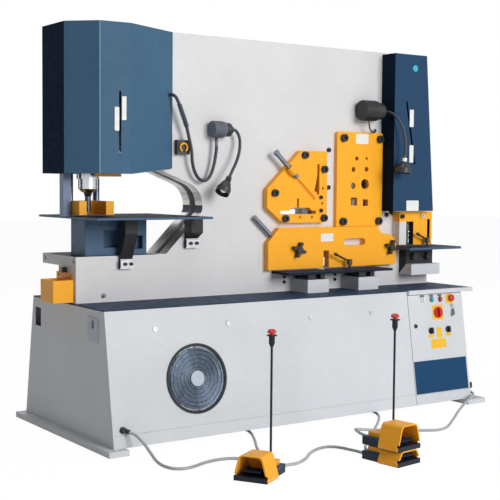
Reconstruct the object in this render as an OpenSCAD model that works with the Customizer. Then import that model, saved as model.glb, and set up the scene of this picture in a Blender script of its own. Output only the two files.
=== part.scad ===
// Hydraulic ironworker: punch at the left end, angle, section and flat shears
// in the middle, notcher at the right end, on a cabinet that holds the
// hydraulic unit and the switchgear. Millimetres, +X right, +Y back, +Z up.
// The origin is the centre of the four anchor holes, on the floor.

/* [Cabinet] */
// Length of the cabinet
base_len = 2450; // [2300:10:2600]
// Height of the cabinet's top edge
base_top = 694; // [640:2:740]
// Half of the cabinet's depth at the top
top_half = 425; // [400:5:450]
// Half of the cabinet's depth at the bottom
bottom_half = 530; // [500:5:560]
// Thickness of the foot bars
foot_t = 30; // [26:1:40]
// Wall of the cabinet
wall = 6; // [4:1:10]
// Thickness of the front sheets
sheet_t = 5; // [4:0.5:6]
// Thickness of the worktop
worktop_t = 6; // [4:1:10]
// Overhang of the worktop at the right end
worktop_over = 80; // [40:5:100]
// Width of the switchgear door
door_w = 449; // [430:1:470]
// Radius of the fan opening
fan_r = 172; // [140:2:180]
// Distance of the anchor holes from the cabinet's ends
anchor_in = 13; // [10:1:30]
// Distance of the anchor holes outside the cabinet's foot, along Y
anchor_out = 20; // [18:1:25]
// Radius of an anchor hole
anchor_r = 9; // [6:0.5:10]

/* [Frame] */
// Thickness of each side plate of the frame
plate_t = 75; // [60:1:80]
// Space between the two side plates
gap = 60; // [56:1:66]
// Middle plane of the frame
mid_y = 20; // [10:1:30]
// Top of the frame
frame_top = 2137; // [2110:1:2160]
// Left end of the lower jaw
jaw_x = -1212; // [-1216:1:-1200]
// Right end of the frame
frame_right = 1262; // [1240:1:1280]
// Back wall of the throat
throat_x = -445; // [-470:1:-430]
// Thickness of the jaw plate
jaw_plate_t = 54; // [40:1:60]
// Sheet of the covers
cover_t = 4; // [3:0.5:6]

/* [Punch] */
// Punch axis along X
punch_x = -1092; // [-1096:1:-1086]
// Radius of the punch
punch_r = 16; // [8:1:18]
// Thickness of the punch table
table_t = 12; // [8:1:16]
// Height of the die block
die_block_h = 196; // [190:1:200]

/* [Shears] */
// Thickness of the angle and flat shear guards
guard_t = 43; // [36:1:50]
// Thickness of the section shear plate
section_t = 27; // [20:1:32]
// Radius of the beam's pivot pin
pin_r = 70; // [50:1:75]
// Radius of the hold-down screws
screw_r = 14; // [10:0.5:15]

/* [Pedals and leads] */
// Width of a pedal shroud at the floor
pedal_w = 164; // [156:2:170]
// Wall of a pedal shroud
shroud_t = 6; // [4:0.5:8]
// Radius of the emergency stop posts
post_r = 5.5; // [5:0.5:8]
// Diameter of the pedal hoses
hose_d = 15; // [12:0.5:16]

/* [Hidden] */
$fn = 48;

// Running and sliding clearances
run_c = 0.05;
slide_c = 0.3;
beam_c = 1;

// Frame planes
front_y = mid_y - gap / 2 - plate_t;
rear_y = mid_y + gap / 2 + plate_t;
in_front_y = mid_y - gap / 2;
in_rear_y = mid_y + gap / 2;
deck_z = base_top + worktop_t;
jaw_z = 942;
jaw_under = jaw_z - jaw_plate_t;
table_top = jaw_z + die_block_h + table_t;
half_len = base_len / 2;
anchor_x = half_len - anchor_in;
anchor_y = bottom_half + anchor_out;
foot_end = bottom_half + 40;
door_x = half_len - door_w;
worktop_right = half_len + worktop_over;

// Cabinet front: it leans out towards the floor
function front_at(z) =
  -(top_half + (bottom_half - top_half) * (base_top - z) / (base_top - foot_t));
front_tilt = atan((bottom_half - top_half) / (base_top - foot_t));
fan_at = [-723, 327];
door_top = 670;
door_bottom = foot_t + 60;
door_gap = 0.5;
panel_gap = 2;
lip_h = 18;
lip_proud = 22;
partition_x = door_x - 40;
rail_y = -420;

// Shear beam
pivot = [-150, 1400];
pad_z = 1480;
beam_under = 1190;
ram_x = 1000;
notch_x = 1047;
ram_gap = 1.1;
shear_ram_r = 40;
punch_ram_r = 60;

// Notcher
notch_jaw_z = 925;
notch_in_x = 985;
notch_table_t = 15;
notch_front = front_y - 65;

// Flat shear
flat_z = 822;
blade_z = 790;
flat_top = 1073;
cover_low = 1372;
cover_high = frame_top;
shear_cover_low = 1165;
shear_cover_top = frame_top - 12;
shear_cover_proud = 120;

// Section shear openings: x, z and radius of the round ones, side of the square ones
section_round = [[641, 1484, 13], [719, 1485, 9], [719, 1420, 15],
  [614, 1319, 19], [708, 1330, 31]];
section_square = [[615, 1418, 26], [623, 1224, 48], [713, 1217, 40]];

// Pedals: place, floor height, heading of the tail and height of the shroud
left_pedal = [-936, -1277, 0, 31];
lower_pedal = [-131, -1441, 0, 98];
left_shroud_h = 118;
lower_shroud_h = 72;
upper_shroud_h = 122;
upper_pedal = [-131, -1441, lower_shroud_h, 98];
pedal_len = 235;
pedal_floor = 22;
shroud_len = 125;
tail_h = 40;
tail_half = 72;
treadle_pivot_x = 100;
left_post_at = [209, -9];
right_post_at = [150, -58];
left_post_top = 580;
right_post_top = 622;
stop_taper_h = 18;
stop_body_h = 34;
stop_body_r = 14;
stop_flange_h = 5;
stop_flange_r = 24;
stop_h = stop_taper_h + stop_body_h + stop_flange_h;
stop_neck_h = 9;
stop_stem = 24;

// Routes of the hoses, from the machine to the pedals
hose_r = hose_d / 2;
hose_lift = 12;

// Last stretch of a hose, square to the end of a pedal's tail
function pedal_at(p, x, y, z) = [p[0] + x * cos(p[3]) - y * sin(p[3]),
  p[1] + x * sin(p[3]) + y * cos(p[3]), p[2] + z];
function into_tail(p, y, z) = [pedal_at(p, pedal_len + 40, y, z), pedal_at(p, pedal_len, y, z)];
function out_of_tail(p, y, z) = [pedal_at(p, pedal_len, y, z), pedal_at(p, pedal_len + 40, y, z)];

left_route = concat([[77 - half_len, -545, 110], [95 - half_len, -575, 100],
  [113 - half_len, -620, 70], [117 - half_len, -680, 35], [110 - half_len, -740, 14],
  [-1125, -800, 8], [-1130, -860, 8], [-1115, -915, 8],
  [-1070, -940, 8], [-1010, -930, 8], [-950, -905, 8], [-890, -890, 8],
  [-835, -888, 8], [-790, -900, 8], [-754, -930, 8], [-728, -975, 8], [-706, -1030, 9],
  [-702, -1070, 11]], into_tail(left_pedal, 40, hose_lift));
link_route = concat(out_of_tail(left_pedal, -40, hose_lift),
  [[-640, -1153, 10], [-600, -1148, 8], [-560, -1140, 8], [-515, -1118, 8], [-470, -1085, 8],
  [-420, -1040, 8], [-365, -1000, 8], [-310, -975, 8], [-262, -967, 8], [-225, -983, 8],
  [-202, -1025, 8], [-194, -1080, 9], [-191, -1128, 11]], into_tail(lower_pedal, 22, hose_lift));
right_route = concat(out_of_tail(upper_pedal, -5, 20),
  [[-162, -1115, 96], [-138, -1060, 96], [-100, -1010, 87], [-40, -965, 71], [40, -925, 52],
  [130, -895, 33], [220, -882, 17], [310, -895, 9], [380, -930, 8], [440, -970, 8],
  [500, -992, 8], [570, -976, 8], [655, -922, 8], [750, -850, 8], [845, -778, 8],
  [940, -704, 8], [1020, -648, 11], [1090, -608, 22],
  [half_len - 75, -580, 38], [half_len - 41, -562, 43], [half_len, -545, 50],
  [half_len + 14, -532, 56], [half_len + 17, -515, 60], [half_len + 17, -499, 64],
  [half_len + 17, -489, 71], [half_len + 17, -486, 81]]);
floor_routes = [
  concat([[-390, rail_y, hose_lift], [-390, rail_y - 40, hose_lift], [-402, -510, 10],
   [-430, -570, 8], [-480, -660, 8], [-535, -750, 8], [-585, -840, 8], [-622, -930, 8],
   [-645, -1010, 9], [-664, -1075, 11]], into_tail(left_pedal, 5, hose_lift)),
  concat([[500, rail_y, hose_lift], [500, rail_y - 40, hose_lift], [484, -510, 10], [445, -570, 8],
   [370, -650, 8], [270, -745, 8], [160, -845, 8], [50, -945, 8], [-50, -1035, 8],
   [-112, -1100, 10]], into_tail(lower_pedal, -26, hose_lift))];

// Lamp conduits
neck_r = 9;
left_neck = [[-282, -130, 1624], [-262, -130, 1624], [-245, -132, 1608], [-236, -137, 1578],
  [-238, -145, 1545], [-250, -155, 1500], [-275, -167, 1450], [-310, -180, 1400], [-336, -188, 1362]];
feed_out = [0.44, -0.898, 0];
feed_start = [-670, -100.7, 1800];
left_feed = [feed_start, feed_start + 22 * feed_out, [-648, -139, 1784], [-634, -146, 1750],
  [-606, -146, 1690], [-584, -142, 1630], [-563, -138, 1560], [-548, -136, 1500],
  [-540, -132, 1440], [-522, -127, 1390], [-492, -124, 1352], [-458, -124, 1342],
  [-430, -126, 1358], [-408, -128, 1400], [-394, -130, 1455], [-384, -130, 1520],
  [-384, -130, 1580]];
right_neck = [[812, -150, 1772], [830, -150, 1772], [841, -175, 1768], [844, -210, 1754],
  [856, -240, 1722], [872, -257, 1680], [886, -265, 1625], [892, -268, 1570], [890, -268, 1520],
  [886, -268, 1490]];
right_lead = [[700, -150, 1712], [700, -150, 1694], [712, -144, 1666], [740, -132, 1648],
  [772, -118, 1646], [792, -106, 1656], [798, -98, 1662], [798, front_y, 1662]];

// Helpers

function unit(v) = v / norm(v);
function flat(lists) = [for (l = lists) for (p = l) p];

// Arc that rounds the corner b between a and c
function fillet(a, b, c, r, n = 6) =
  let (u = unit(a - b), v = unit(c - b), half = acos(u * v) / 2,
       d = r / tan(half), m = b + unit(u + v) * r / sin(half),
       s = b + u * d - m, e = b + v * d - m,
       a0 = atan2(s[1], s[0]), turn = atan2(e[1], e[0]) - a0,
       sweep = turn > 180 ? turn - 360 : turn < -180 ? turn + 360 : turn)
  [for (i = [0:n]) m + r * [cos(a0 + sweep * i / n), sin(a0 + sweep * i / n)]];

// Outline with rounded corners, from points [x, y, radius]
function rounded(p) =
  let (n = len(p), at = function (i) [p[(i + n) % n][0], p[(i + n) % n][1]])
  flat([for (i = [0:n - 1]) p[i][2] > 0 ?
    fillet(at(i - 1), at(i), at(i + 1), p[i][2]) : [at(i)]]);

// Plate from an outline in X and Z, from y0 to y1
module plate_xz(points, y0, y1)
  translate([0, y1, 0]) rotate([90, 0, 0]) linear_extrude(y1 - y0) polygon(points);

// Bar from an outline in Y and Z, from x0 to x1
module bar_yz(points, x0, x1)
  translate([x0, 0, 0]) rotate([90, 0, 90]) linear_extrude(x1 - x0) polygon(points);

// Box between two corners
module box(a, b) translate(a) cube(b - a);

// Cylinder along Y
module rod_y(x, z, r, y0, y1)
  translate([x, y1, z]) rotate([90, 0, 0]) cylinder(h = y1 - y0, r = r);

// Cylinder along X
module rod_x(y, z, r, x0, x1)
  translate([x0, y, z]) rotate([0, 90, 0]) cylinder(h = x1 - x0, r = r);

// Places children on the leaning front, local +Z outwards and local +Y up
module on_front(x, z)
  translate([x, front_at(z), z]) rotate([90 - front_tilt, 0, 0]) children();

// Front sheet between two X places and two heights
module front_sheet(x0, x1, z0, z1, t)
  bar_yz([[front_at(z0), z0], [front_at(z0) + t, z0],
          [front_at(z1) + t, z1], [front_at(z1), z1]], x0, x1);

// Tube of radius r along a route
function tangents(p) = [for (i = [0:len(p) - 1])
  unit(p[min(i + 1, len(p) - 1)] - p[max(i - 1, 0)])];
function across(t) = unit(cross(t, abs(t[2]) < 0.9 ? [0, 0, 1] : [1, 0, 0]));
function carried(t, i = 0, done = []) = i == len(t) ? done :
  carried(t, i + 1, concat(done,
    [i == 0 ? across(t[0]) : unit(done[i - 1] - (done[i - 1] * t[i]) * t[i])]));
module tube(p, r, sides = 10) {
  t = tangents(p);
  n = carried(t);
  rings = len(p);
  points = [for (i = [0:rings - 1]) for (k = [0:sides - 1])
    p[i] + r * (cos(360 * k / sides) * n[i] + sin(360 * k / sides) * cross(t[i], n[i]))];
  sides_faces = [for (i = [0:rings - 2]) for (k = [0:sides - 1])
    [i * sides + k, i * sides + (k + 1) % sides,
     (i + 1) * sides + (k + 1) % sides, (i + 1) * sides + k]];
  polyhedron(points, concat(
    [[for (k = [0:sides - 1]) sides - 1 - k]], sides_faces,
    [[for (k = [0:sides - 1]) (rings - 1) * sides + k]]));
}

// Places children on a pedal, local +X towards its tail
module on_pedal(p) translate([p[0], p[1], p[2]]) rotate([0, 0, p[3]]) children();

// Cabinet

module base_section(front, inset)
  polygon([[front_at(foot_t) + front + inset, foot_t + inset], [bottom_half - inset, foot_t + inset],
           [top_half - inset, base_top - inset], [front_at(base_top) + front + inset, base_top - inset]]);

module base_prism(x0, x1, front, inset)
  translate([x0, 0, 0]) rotate([90, 0, 90]) linear_extrude(x1 - x0) base_section(front, inset);

module foot_bar(x0, x1, hole_x)
  difference() {
    box([x0, -foot_end, 0], [x1, foot_end, foot_t]);
    for (s = [-1, 1])
      translate([hole_x, s * anchor_y, -1]) cylinder(h = foot_t + 2, r = anchor_r);
  }

module base_cabinet() color("gainsboro") {
  lip_front = -top_half - lip_proud;
  difference() {
    union() {
      base_prism(-half_len, half_len, sheet_t, 0);
      foot_bar(-half_len - 45, -half_len + 65, -anchor_x);
      foot_bar(half_len - 65, half_len + 80, anchor_x);
      box([-half_len + 65, rail_y, 6], [half_len - 65, rail_y + 30, foot_t]);
      box([door_x, lip_front, base_top - lip_h], [worktop_right, -top_half + sheet_t + 1, base_top]);
      box([door_x, lip_front, base_top], [worktop_right, -top_half, deck_z]);
      box([-half_len - 5, -370, 530], [-half_len, -252, 654]);
      front_sheet(door_x + panel_gap, half_len, foot_t, door_bottom - panel_gap, sheet_t);
    }
    base_prism(-half_len + wall, partition_x, sheet_t, wall);
    base_prism(partition_x + wall, half_len - wall, sheet_t, wall);
    box([-half_len + 75, -600, 90], [partition_x - 40, -300, 640]);
    box([door_x + 24, -600, door_bottom + 14], [half_len - 20, -300, 668]);
    box([-half_len - 10, 325, 540], [-half_len + wall + 1, 400, 640]);
    box([-half_len - 10, -322, 600], [-half_len + wall + 1, -300, 640]);
  }
}

module front_panel() color("gainsboro")
  difference() {
    front_sheet(-half_len, door_x - panel_gap, foot_t, base_top, sheet_t);
    on_front(fan_at[0], fan_at[1])
      translate([0, 0, -20]) cylinder(h = 40, r = fan_r);
    on_front(0, 92) translate([-half_len - 1, -1, -1]) cube([door_x + half_len, 2, 3]);
  }

// Quarter-turn locks of the front panel and the two hose glands
module panel_fittings() color("dimgray") {
  for (p = [[-950, 592], [-509, 594], [42, 586], [482, 588]]) lock_stud(p);
  on_front(55 - half_len, 118) {
    cylinder(h = 6, r = 18, $fn = 6);
    translate([0, 0, 6]) cylinder(h = 12, r = 13);
  }
  gland_body(left_route);
  box([half_len, -503, 84], [half_len + 34, -468, 118]);
  gland_body([right_route[len(right_route) - 1], right_route[len(right_route) - 2]]);
}

// Slotted quarter-turn lock on the leaning front
module lock_stud(p)
  on_front(p[0], p[1]) difference() {
    cylinder(h = 7, r1 = 13, r2 = 11);
    translate([-9, -1.5, 4]) cube([18, 3, 4]);
  }

// Strain relief that ends where the hose begins
module gland_body(route) {
  d = unit(route[1] - route[0]);
  translate(route[0]) rotate([0, acos(d[2]), atan2(d[1], d[0])])
    translate([0, 0, -26]) cylinder(h = 26, r = hose_r + 4);
}

module worktop() color("darkslategray")
  box([-half_len, -top_half, base_top], [worktop_right, top_half, deck_z]);

// Fan

module fan_guard() color("silver")
  on_front(fan_at[0], fan_at[1]) {
    rotate_extrude() translate([fan_r - 6, 0]) square([14, 6]);
    for (r = [60:22:148])
      translate([0, 0, 7]) rotate_extrude() translate([r, 0]) circle(r = 2.5, $fn = 16);
    for (a = [0:45:315])
      rotate([0, 0, a]) translate([30, 0, 3]) rotate([0, 90, 0])
        cylinder(h = fan_r - 34, r = 2.5, $fn = 16);
    translate([0, 0, 1]) cylinder(h = 8, r = 42);
    fan_shroud();
  }

// Duct and motor behind the panel
module fan_shroud() {
  difference() {
    translate([0, 0, -90 - sheet_t]) cylinder(h = 90, r = fan_r + 8);
    translate([0, 0, -91 - sheet_t]) cylinder(h = 92, r = fan_r - 2);
  }
  difference() {
    for (a = [0:120:240])
      rotate([0, 0, a]) translate([0, -8, -90 - sheet_t]) cube([fan_r, 16, 10]);
    translate([0, 0, -91 - sheet_t]) cylinder(h = 20, r = 40);
  }
  translate([0, 0, -140 - sheet_t]) cylinder(h = 60, r = 45);
  translate([0, 0, -80 - sheet_t]) cylinder(h = 60, r = 8);
}

module fan_rotor() color("slategray")
  on_front(fan_at[0], fan_at[1]) difference() {
    union() {
      translate([0, 0, -72]) cylinder(h = 40, r = 38);
      for (a = [0:360 / 7:359])
        rotate([0, 0, a]) translate([30, 0, -52]) rotate([32, 0, 0]) translate([0, -32, -1.5])
          cube([fan_r - 46, 64, 3]);
    }
    translate([0, 0, -80]) cylinder(h = 60, r = 8 + run_c);
  }

// Hydraulic unit and switchgear

module oil_tank() color("steelblue") {
  floor_z = foot_t + wall;
  box([-400, -250, floor_z], [500, 250, 390]);
  box([-420, -270, 390], [520, 270, 400]);
  translate([440, -200, 400]) cylinder(h = 40, r = 30);
}

module pump_set() color("slategray") {
  box([-250, -90, 400], [100, 90, 440]);
  rod_x(0, 545, 110, -320, 140);
  rod_x(0, 545, 80, -380, -320);
  rod_x(0, 545, 60, 140, 300);
  box([330, -80, 400], [470, 80, 520]);
  for (s = [-1, 1]) rod_y(400, 470, 24, s > 0 ? 80 : -180, s > 0 ? 180 : -80);
}

module power_unit() {
  oil_tank();
  pump_set();
}

module control_gear() color("lightgray") {
  x0 = partition_x + wall;
  box([x0, -250, 130], [x0 + 4, 260, 620]);
  for (z = [180, 340, 500]) for (y = [-200:90:160])
    box([x0 + 4, y, z], [x0 + 84, y + 70, z + 90]);
}

// Door and controls

start_at = [door_x + 193, 639];
stop_at = [door_x + 262, 638];
estop_at = [door_x + 347, 640];
main_at = [door_x + 235, 560];
mode_at = [door_x + 118, 640];
left_select_at = [door_x + 166, 455];
right_select_at = [door_x + 307, 455];
button_r = 11;
collar_h = 6;
button_proud = 6;
stem_r = 6;

module door_collar(p, r)
  on_front(p[0], p[1]) translate([0, 0, -1]) cylinder(h = collar_h + 1, r = r);

module door_bore(p, r)
  on_front(p[0], p[1]) translate([0, 0, -20]) cylinder(h = 40, r = r);

module cabinet_door() color("gainsboro")
  difference() {
    union() {
      front_sheet(door_x + panel_gap, half_len, door_bottom, door_top, sheet_t - door_gap);
      door_collar(start_at, button_r + 5);
      door_collar(stop_at, button_r + 5);
      door_collar(estop_at, 26);
      on_front(door_x + 220, 187) translate([-214, -96, -1]) cube([428, 192, 4]);
      lock_stud([door_x + 46, 489]);
    }
    door_bore(start_at, button_r + slide_c);
    door_bore(stop_at, button_r + slide_c);
    door_bore(estop_at, button_r + slide_c);
    door_bore(mode_at, stem_r + run_c);
    door_bore(main_at, stem_r + run_c);
    door_bore(left_select_at, stem_r + run_c);
    door_bore(right_select_at, stem_r + run_c);
  }

// Push button: the plunger reaches through the collar to the back of the door
module push_button(p)
  on_front(p[0], p[1]) translate([0, 0, -sheet_t])
    cylinder(h = sheet_t + collar_h + button_proud, r = button_r);

module start_button() color("teal") push_button(start_at);
module stop_button() color("red") push_button(stop_at);

module panel_estop() color("red")
  on_front(estop_at[0], estop_at[1]) {
    translate([0, 0, -sheet_t]) cylinder(h = sheet_t + collar_h + 8, r = button_r);
    translate([0, 0, collar_h + 7]) cylinder(h = 8, r1 = 21, r2 = 20);
    translate([0, 0, collar_h + 15]) cylinder(h = 5, r1 = 20, r2 = 12);
  }

// Turning knob with a grip bar and a stem through the door
module turn_knob(p, r, h, grip)
  on_front(p[0], p[1]) {
    translate([0, 0, -sheet_t - 6]) cylinder(h = sheet_t + 8, r = stem_r);
    translate([0, 0, slide_c]) cylinder(h = h, r = r);
    translate([-grip[0] / 2, -grip[1] / 2, h]) cube([grip[0], grip[1], grip[2]]);
  }

module main_switch() color("firebrick") turn_knob(main_at, 24, 10, [14, 52, 18]);
module mode_switch() color("black") turn_knob(mode_at, 14, 8, [6, 26, 10]);
module left_selector() color("black") turn_knob(left_select_at, 19, 8, [10, 36, 14]);
module right_selector() color("black") turn_knob(right_select_at, 19, 8, [10, 36, 14]);

// Frame

frame_outline = rounded([[jaw_x, deck_z, 0], [frame_right, deck_z, 0],
  [frame_right, notch_jaw_z, 0], [notch_in_x, notch_jaw_z, 0], [notch_in_x, 1120, 0],
  [880, 1180, 0], [880, frame_top, 0], [-966, frame_top, 0], [-966, 1494, 0],
  [throat_x, 1294, 130], [throat_x, 1174, 40], [throat_x - 230, 944, 0],
  [-735, 944, 0], [-735, jaw_under, 0], [jaw_x, jaw_under, 0]]);

// L-shaped way for angle bars
module angle_way(y0, y1, grow) {
  box([50 - grow, y0, 1150 - grow], [346 + grow, y1, 1174 + grow]);
  box([320 - grow, y0, 1150 - grow], [346 + grow, y1, 1446 + grow]);
}

module main_frame() color("linen") {
  difference() {
    union() {
      plate_xz(frame_outline, front_y, in_front_y);
      plate_xz(frame_outline, in_rear_y, rear_y);
      box([jaw_x, in_front_y, deck_z], [frame_right, in_rear_y, blade_z]);
      box([jaw_x, in_front_y, blade_z], [jaw_x + 62, in_rear_y, jaw_under]);
      box([throat_x + 50, in_front_y, 960], [throat_x + 110, in_rear_y, 1330]);
      box([-966, in_front_y, frame_top - 50], [860, in_rear_y, frame_top]);
      box([-966, in_front_y, 1560], [-906, in_rear_y, frame_top - 50]);
    }
    box([-60, front_y - 1, flat_z + 2], [930, rear_y + 1, 925]);
    box([560, front_y - 1, 1180], [780, rear_y + 1, 1520]);
    angle_way(front_y - 1, rear_y + 1, 8);
    rod_y(pivot[0], pivot[1], pin_r + run_c, front_y + 25, rear_y - 25);
  }
  rod_y(pivot[0], pivot[1], pin_r, front_y + 26, rear_y - 26);
}

module jaw_plate() color("darkgray")
  difference() {
    box([jaw_x, front_y, jaw_under], [-735, 327, jaw_z]);
    for (y = [-55, 295])
      rod_x(y, jaw_under + 32, 12, jaw_x - 1, jaw_x + 24);
    translate([punch_x, mid_y, jaw_under - 1]) cylinder(h = jaw_plate_t + 2, r = 26);
  }

// Sheet bin for the slugs, hung on the end of the jaw
module slug_bin() color("orange") {
  back_x = jaw_x - 6;
  difference() {
    box([jaw_x - 120, -68, 706], [back_x, 88, 823]);
    box([jaw_x - 117, -65, 709], [back_x - 3, 85, 824]);
  }
  difference() {
    box([back_x, -62, 740], [jaw_x, 139, 856]);
    for (y = [-30, 108]) rod_x(y, 840, 8, back_x - 1, jaw_x + 1);
  }
  box([jaw_x - 30, 22, 856], [jaw_x, 54, 884]);
}

// Covers

cover_out = [[-1290, mid_y - 132], [-1156, mid_y - 265], [-985, mid_y - 275], [-640, front_y - 1],
  [-640, rear_y + 1], [-985, mid_y + 275], [-1156, mid_y + 265], [-1290, mid_y + 132]];

// The cover's outline drawn in by its sheet
function drawn_in(p, t) = let (n = len(p)) [for (i = [0:n - 1])
  let (a = p[(i + n - 1) % n], b = p[i], c = p[(i + 1) % n], u = unit(b - a), v = unit(c - b),
       na = [-u[1], u[0]], nc = [-v[1], v[0]])
  b + (na + nc) * t / (1 + na * nc)];

module punch_cover() color("steelblue")
  difference() {
    translate([0, 0, cover_low]) linear_extrude(cover_high - cover_low) polygon(cover_out);
    translate([0, 0, cover_low - 1]) linear_extrude(cover_high - cover_low + 1 - cover_t)
      polygon(drawn_in(cover_out, cover_t));
    box([-966, front_y, cover_low - 1], [-600, rear_y, cover_high + 1]);
    plate_xz([[-985, cover_low - 1], [-600, cover_low - 1], [-600, cover_low + 38]], -400, 400);
    box([-1051, -300, cover_low + 108], [-1039, -200, cover_high - 347]);
  }

shear_cover_side = [[855, shear_cover_low], [1191, shear_cover_low], [1117, shear_cover_top],
  [855, shear_cover_top]];

module shear_cover() color("midnightblue")
  difference() {
    plate_xz(shear_cover_side, front_y - shear_cover_proud, rear_y + shear_cover_proud);
    plate_xz([[855 + cover_t, shear_cover_low - 1], [1191 - cover_t, shear_cover_low - 1],
              [1117 - cover_t, shear_cover_top - cover_t], [855 + cover_t, shear_cover_top - cover_t]],
      front_y - shear_cover_proud + cover_t, rear_y + shear_cover_proud - cover_t);
    box([800, front_y, shear_cover_low - 1], [880, rear_y, shear_cover_top + 1]);
    translate([990, front_y - shear_cover_proud, (shear_cover_low + shear_cover_top) / 2 + 1])
      rotate([0, -11, 0]) translate([-6, -10, -195]) cube([12, 30, 390]);
  }

// Punch station

cyl_low = 1400;
cyl_top = frame_top - 77;
chamber = [1500, cyl_top - 60, 90];
piston_low = cyl_top - 160;
piston_h = 80;

module punch_cylinder() color("darkslategray") {
  difference() {
    union() {
      translate([punch_x, mid_y, cyl_low]) cylinder(h = cyl_top - cyl_low, r = 122);
      box([punch_x, front_y, 1520], [-966, rear_y, cyl_top - 20]);
      box([-1262, mid_y - 115, cyl_low], [-970, mid_y + 115, cyl_low + 25]);
    }
    translate([punch_x, mid_y, chamber[0]]) cylinder(h = chamber[1] - chamber[0], r = chamber[2]);
    translate([punch_x, mid_y, cyl_low - 1]) cylinder(h = chamber[0] - cyl_low + 2, r = punch_ram_r + run_c);
  }
  color("orange") box([-1110, mid_y - 125, 1358], [-960, mid_y - 115, cyl_low + 25]);
}

ram_low = 1345;
nut_low = 1275;

module punch_ram() color("silver") {
  translate([punch_x, mid_y, ram_low]) cylinder(h = piston_low - ram_low, r = punch_ram_r);
  translate([punch_x, mid_y, piston_low]) cylinder(h = piston_h, r = chamber[2] - run_c);
  translate([punch_x, mid_y, nut_low + 18]) cylinder(h = ram_low - nut_low - 18, r = 52);
  translate([punch_x, mid_y, nut_low]) cylinder(h = 18, r1 = 32, r2 = 52);
}

punch_tip = table_top + 22;

module punch() color("dimgray") {
  translate([punch_x, mid_y, punch_tip]) cylinder(h = nut_low - punch_tip, r = punch_r);
  translate([punch_x, mid_y, nut_low - 22]) cylinder(h = 22, r1 = punch_r, r2 = punch_r + 8);
}

stripper_low = table_top + 8;
stripper_top = stripper_low + 72;

// Stripper fork with its two columns and the guide bar beside it
module stripper() {
  color("orange") difference() {
    box([punch_x - 98, mid_y - 100, stripper_low], [punch_x + 102, mid_y + 90, stripper_top]);
    box([punch_x - 56, mid_y - 101, stripper_low - 1], [punch_x + 56, mid_y, stripper_top + 1]);
    translate([punch_x, mid_y, stripper_low - 1]) cylinder(h = 74, r = 56);
  }
  color("slategray") {
    for (x = [punch_x - 76, punch_x + 78])
      translate([x, mid_y + 60, stripper_top]) cylinder(h = cyl_low - stripper_top, r = 18);
    box([punch_x - 151, mid_y - 24, table_top], [punch_x - 108, mid_y + 24, cyl_low]);
  }
}

die_h = 52;
die_r = 45;

module die_block() color("steelblue")
  difference() {
    box([-1150, mid_y - 85, jaw_z], [-785, mid_y + 85, jaw_z + die_block_h]);
    translate([punch_x, mid_y, table_top - die_h]) cylinder(h = die_h, r = die_r + run_c);
    translate([punch_x, mid_y, jaw_z - 1]) cylinder(h = die_block_h, r = 26);
    for (s = [-1, 1]) {
      box([-1040, mid_y + s * 65 - 21, 985], [-945, mid_y + s * 65 + 21, 1075]);
      box([-900, mid_y + s * 65 - 21, 975], [-810, mid_y + s * 65 + 21, 1045]);
    }
  }

// Die under the punch and lower blade of the flat shear
module fixed_tools() color("gray") {
  translate([punch_x, mid_y, table_top - die_h]) difference() {
    cylinder(h = die_h, r = die_r);
    translate([0, 0, -1]) cylinder(h = die_h + 2, r = punch_r + 0.8);
  }
  box([-40, in_front_y, blade_z], [915, mid_y + 3, flat_z + 2]);
}

module punch_table() color("darkslategray")
  difference() {
    box([-1215, mid_y - 350, table_top - table_t], [-530, mid_y + 350, table_top]);
    translate([punch_x, mid_y, table_top - table_t - 1]) cylinder(h = table_t + 2, r = die_r + 15);
    for (s = [-1, 1])
      translate([-700, mid_y + s * 250, table_top - table_t - 1]) cylinder(h = table_t + 2, r = 7);
  }

// Bracket under the table with its clamp plate and screws
module table_strap(x0, x1, low) {
  under = table_top - table_t;
  color("black") bar_yz([[front_y, low], [front_y - 20, low], [front_y - 20, low + 52],
    [front_y - 75, under - 80], [front_y - 75, under], [front_y, under]], x0, x1);
  color("silver") box([x0 - 4, front_y - 32, low + 8], [x1 + 6, front_y - 20, low + 46]);
  color("black") for (x = [x0 + 22, x1 - 14]) rod_y(x, low + 27, 9, front_y - 42, front_y - 32);
}

module table_straps() {
  table_strap(-965, -893, 872);
  table_strap(-561, -487, 972);
}

// Shears

shear_chamber = [1560, cyl_top - 60, 60];

module shear_cylinder() color("darkslategray")
  difference() {
    union() {
      translate([ram_x, mid_y, pad_z + 20]) cylinder(h = cyl_top - pad_z - 20, r = 80);
      box([880, mid_y - 60, 1665], [ram_x, mid_y + 60, cyl_top - 20]);
    }
    translate([ram_x, mid_y, shear_chamber[0]])
      cylinder(h = shear_chamber[1] - shear_chamber[0], r = shear_chamber[2]);
    translate([ram_x, mid_y, pad_z + 19]) cylinder(h = 100, r = shear_ram_r + run_c);
  }

// Ram with a round end that presses on the beam
module shear_ram() color("silver") {
  ball_z = pad_z + ram_gap + shear_ram_r;
  translate([ram_x, mid_y, ball_z]) sphere(r = shear_ram_r);
  translate([ram_x, mid_y, ball_z]) cylinder(h = piston_low - ball_z, r = shear_ram_r);
  translate([ram_x, mid_y, piston_low]) cylinder(h = 60, r = shear_chamber[2] - run_c);
}

beam_outline = rounded([[-280, 1270, 60], [-20, 905, 20], [905, 905, 20], [960, 1050, 0],
  [970, beam_under, 0], [1130, beam_under, 0], [1130, pad_z, 0], [905, pad_z, 0],
  [880, 1640, 30], [300, 1640, 60], [-150, 1540, 60], [-280, 1500, 60]]);

module shear_beam() {
  color("gray") difference() {
    plate_xz(beam_outline, in_front_y + beam_c, in_rear_y - beam_c);
    rod_y(pivot[0], pivot[1], pin_r + run_c, in_front_y, in_rear_y);
    angle_way(in_front_y, in_rear_y, 4);
    section_holes(1, in_front_y, in_rear_y);
  }
  color("dimgray")
    plate_xz([[10, 905], [880, 905], [880, 890], [10, 872]], mid_y + 4, in_rear_y - beam_c);
}

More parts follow.
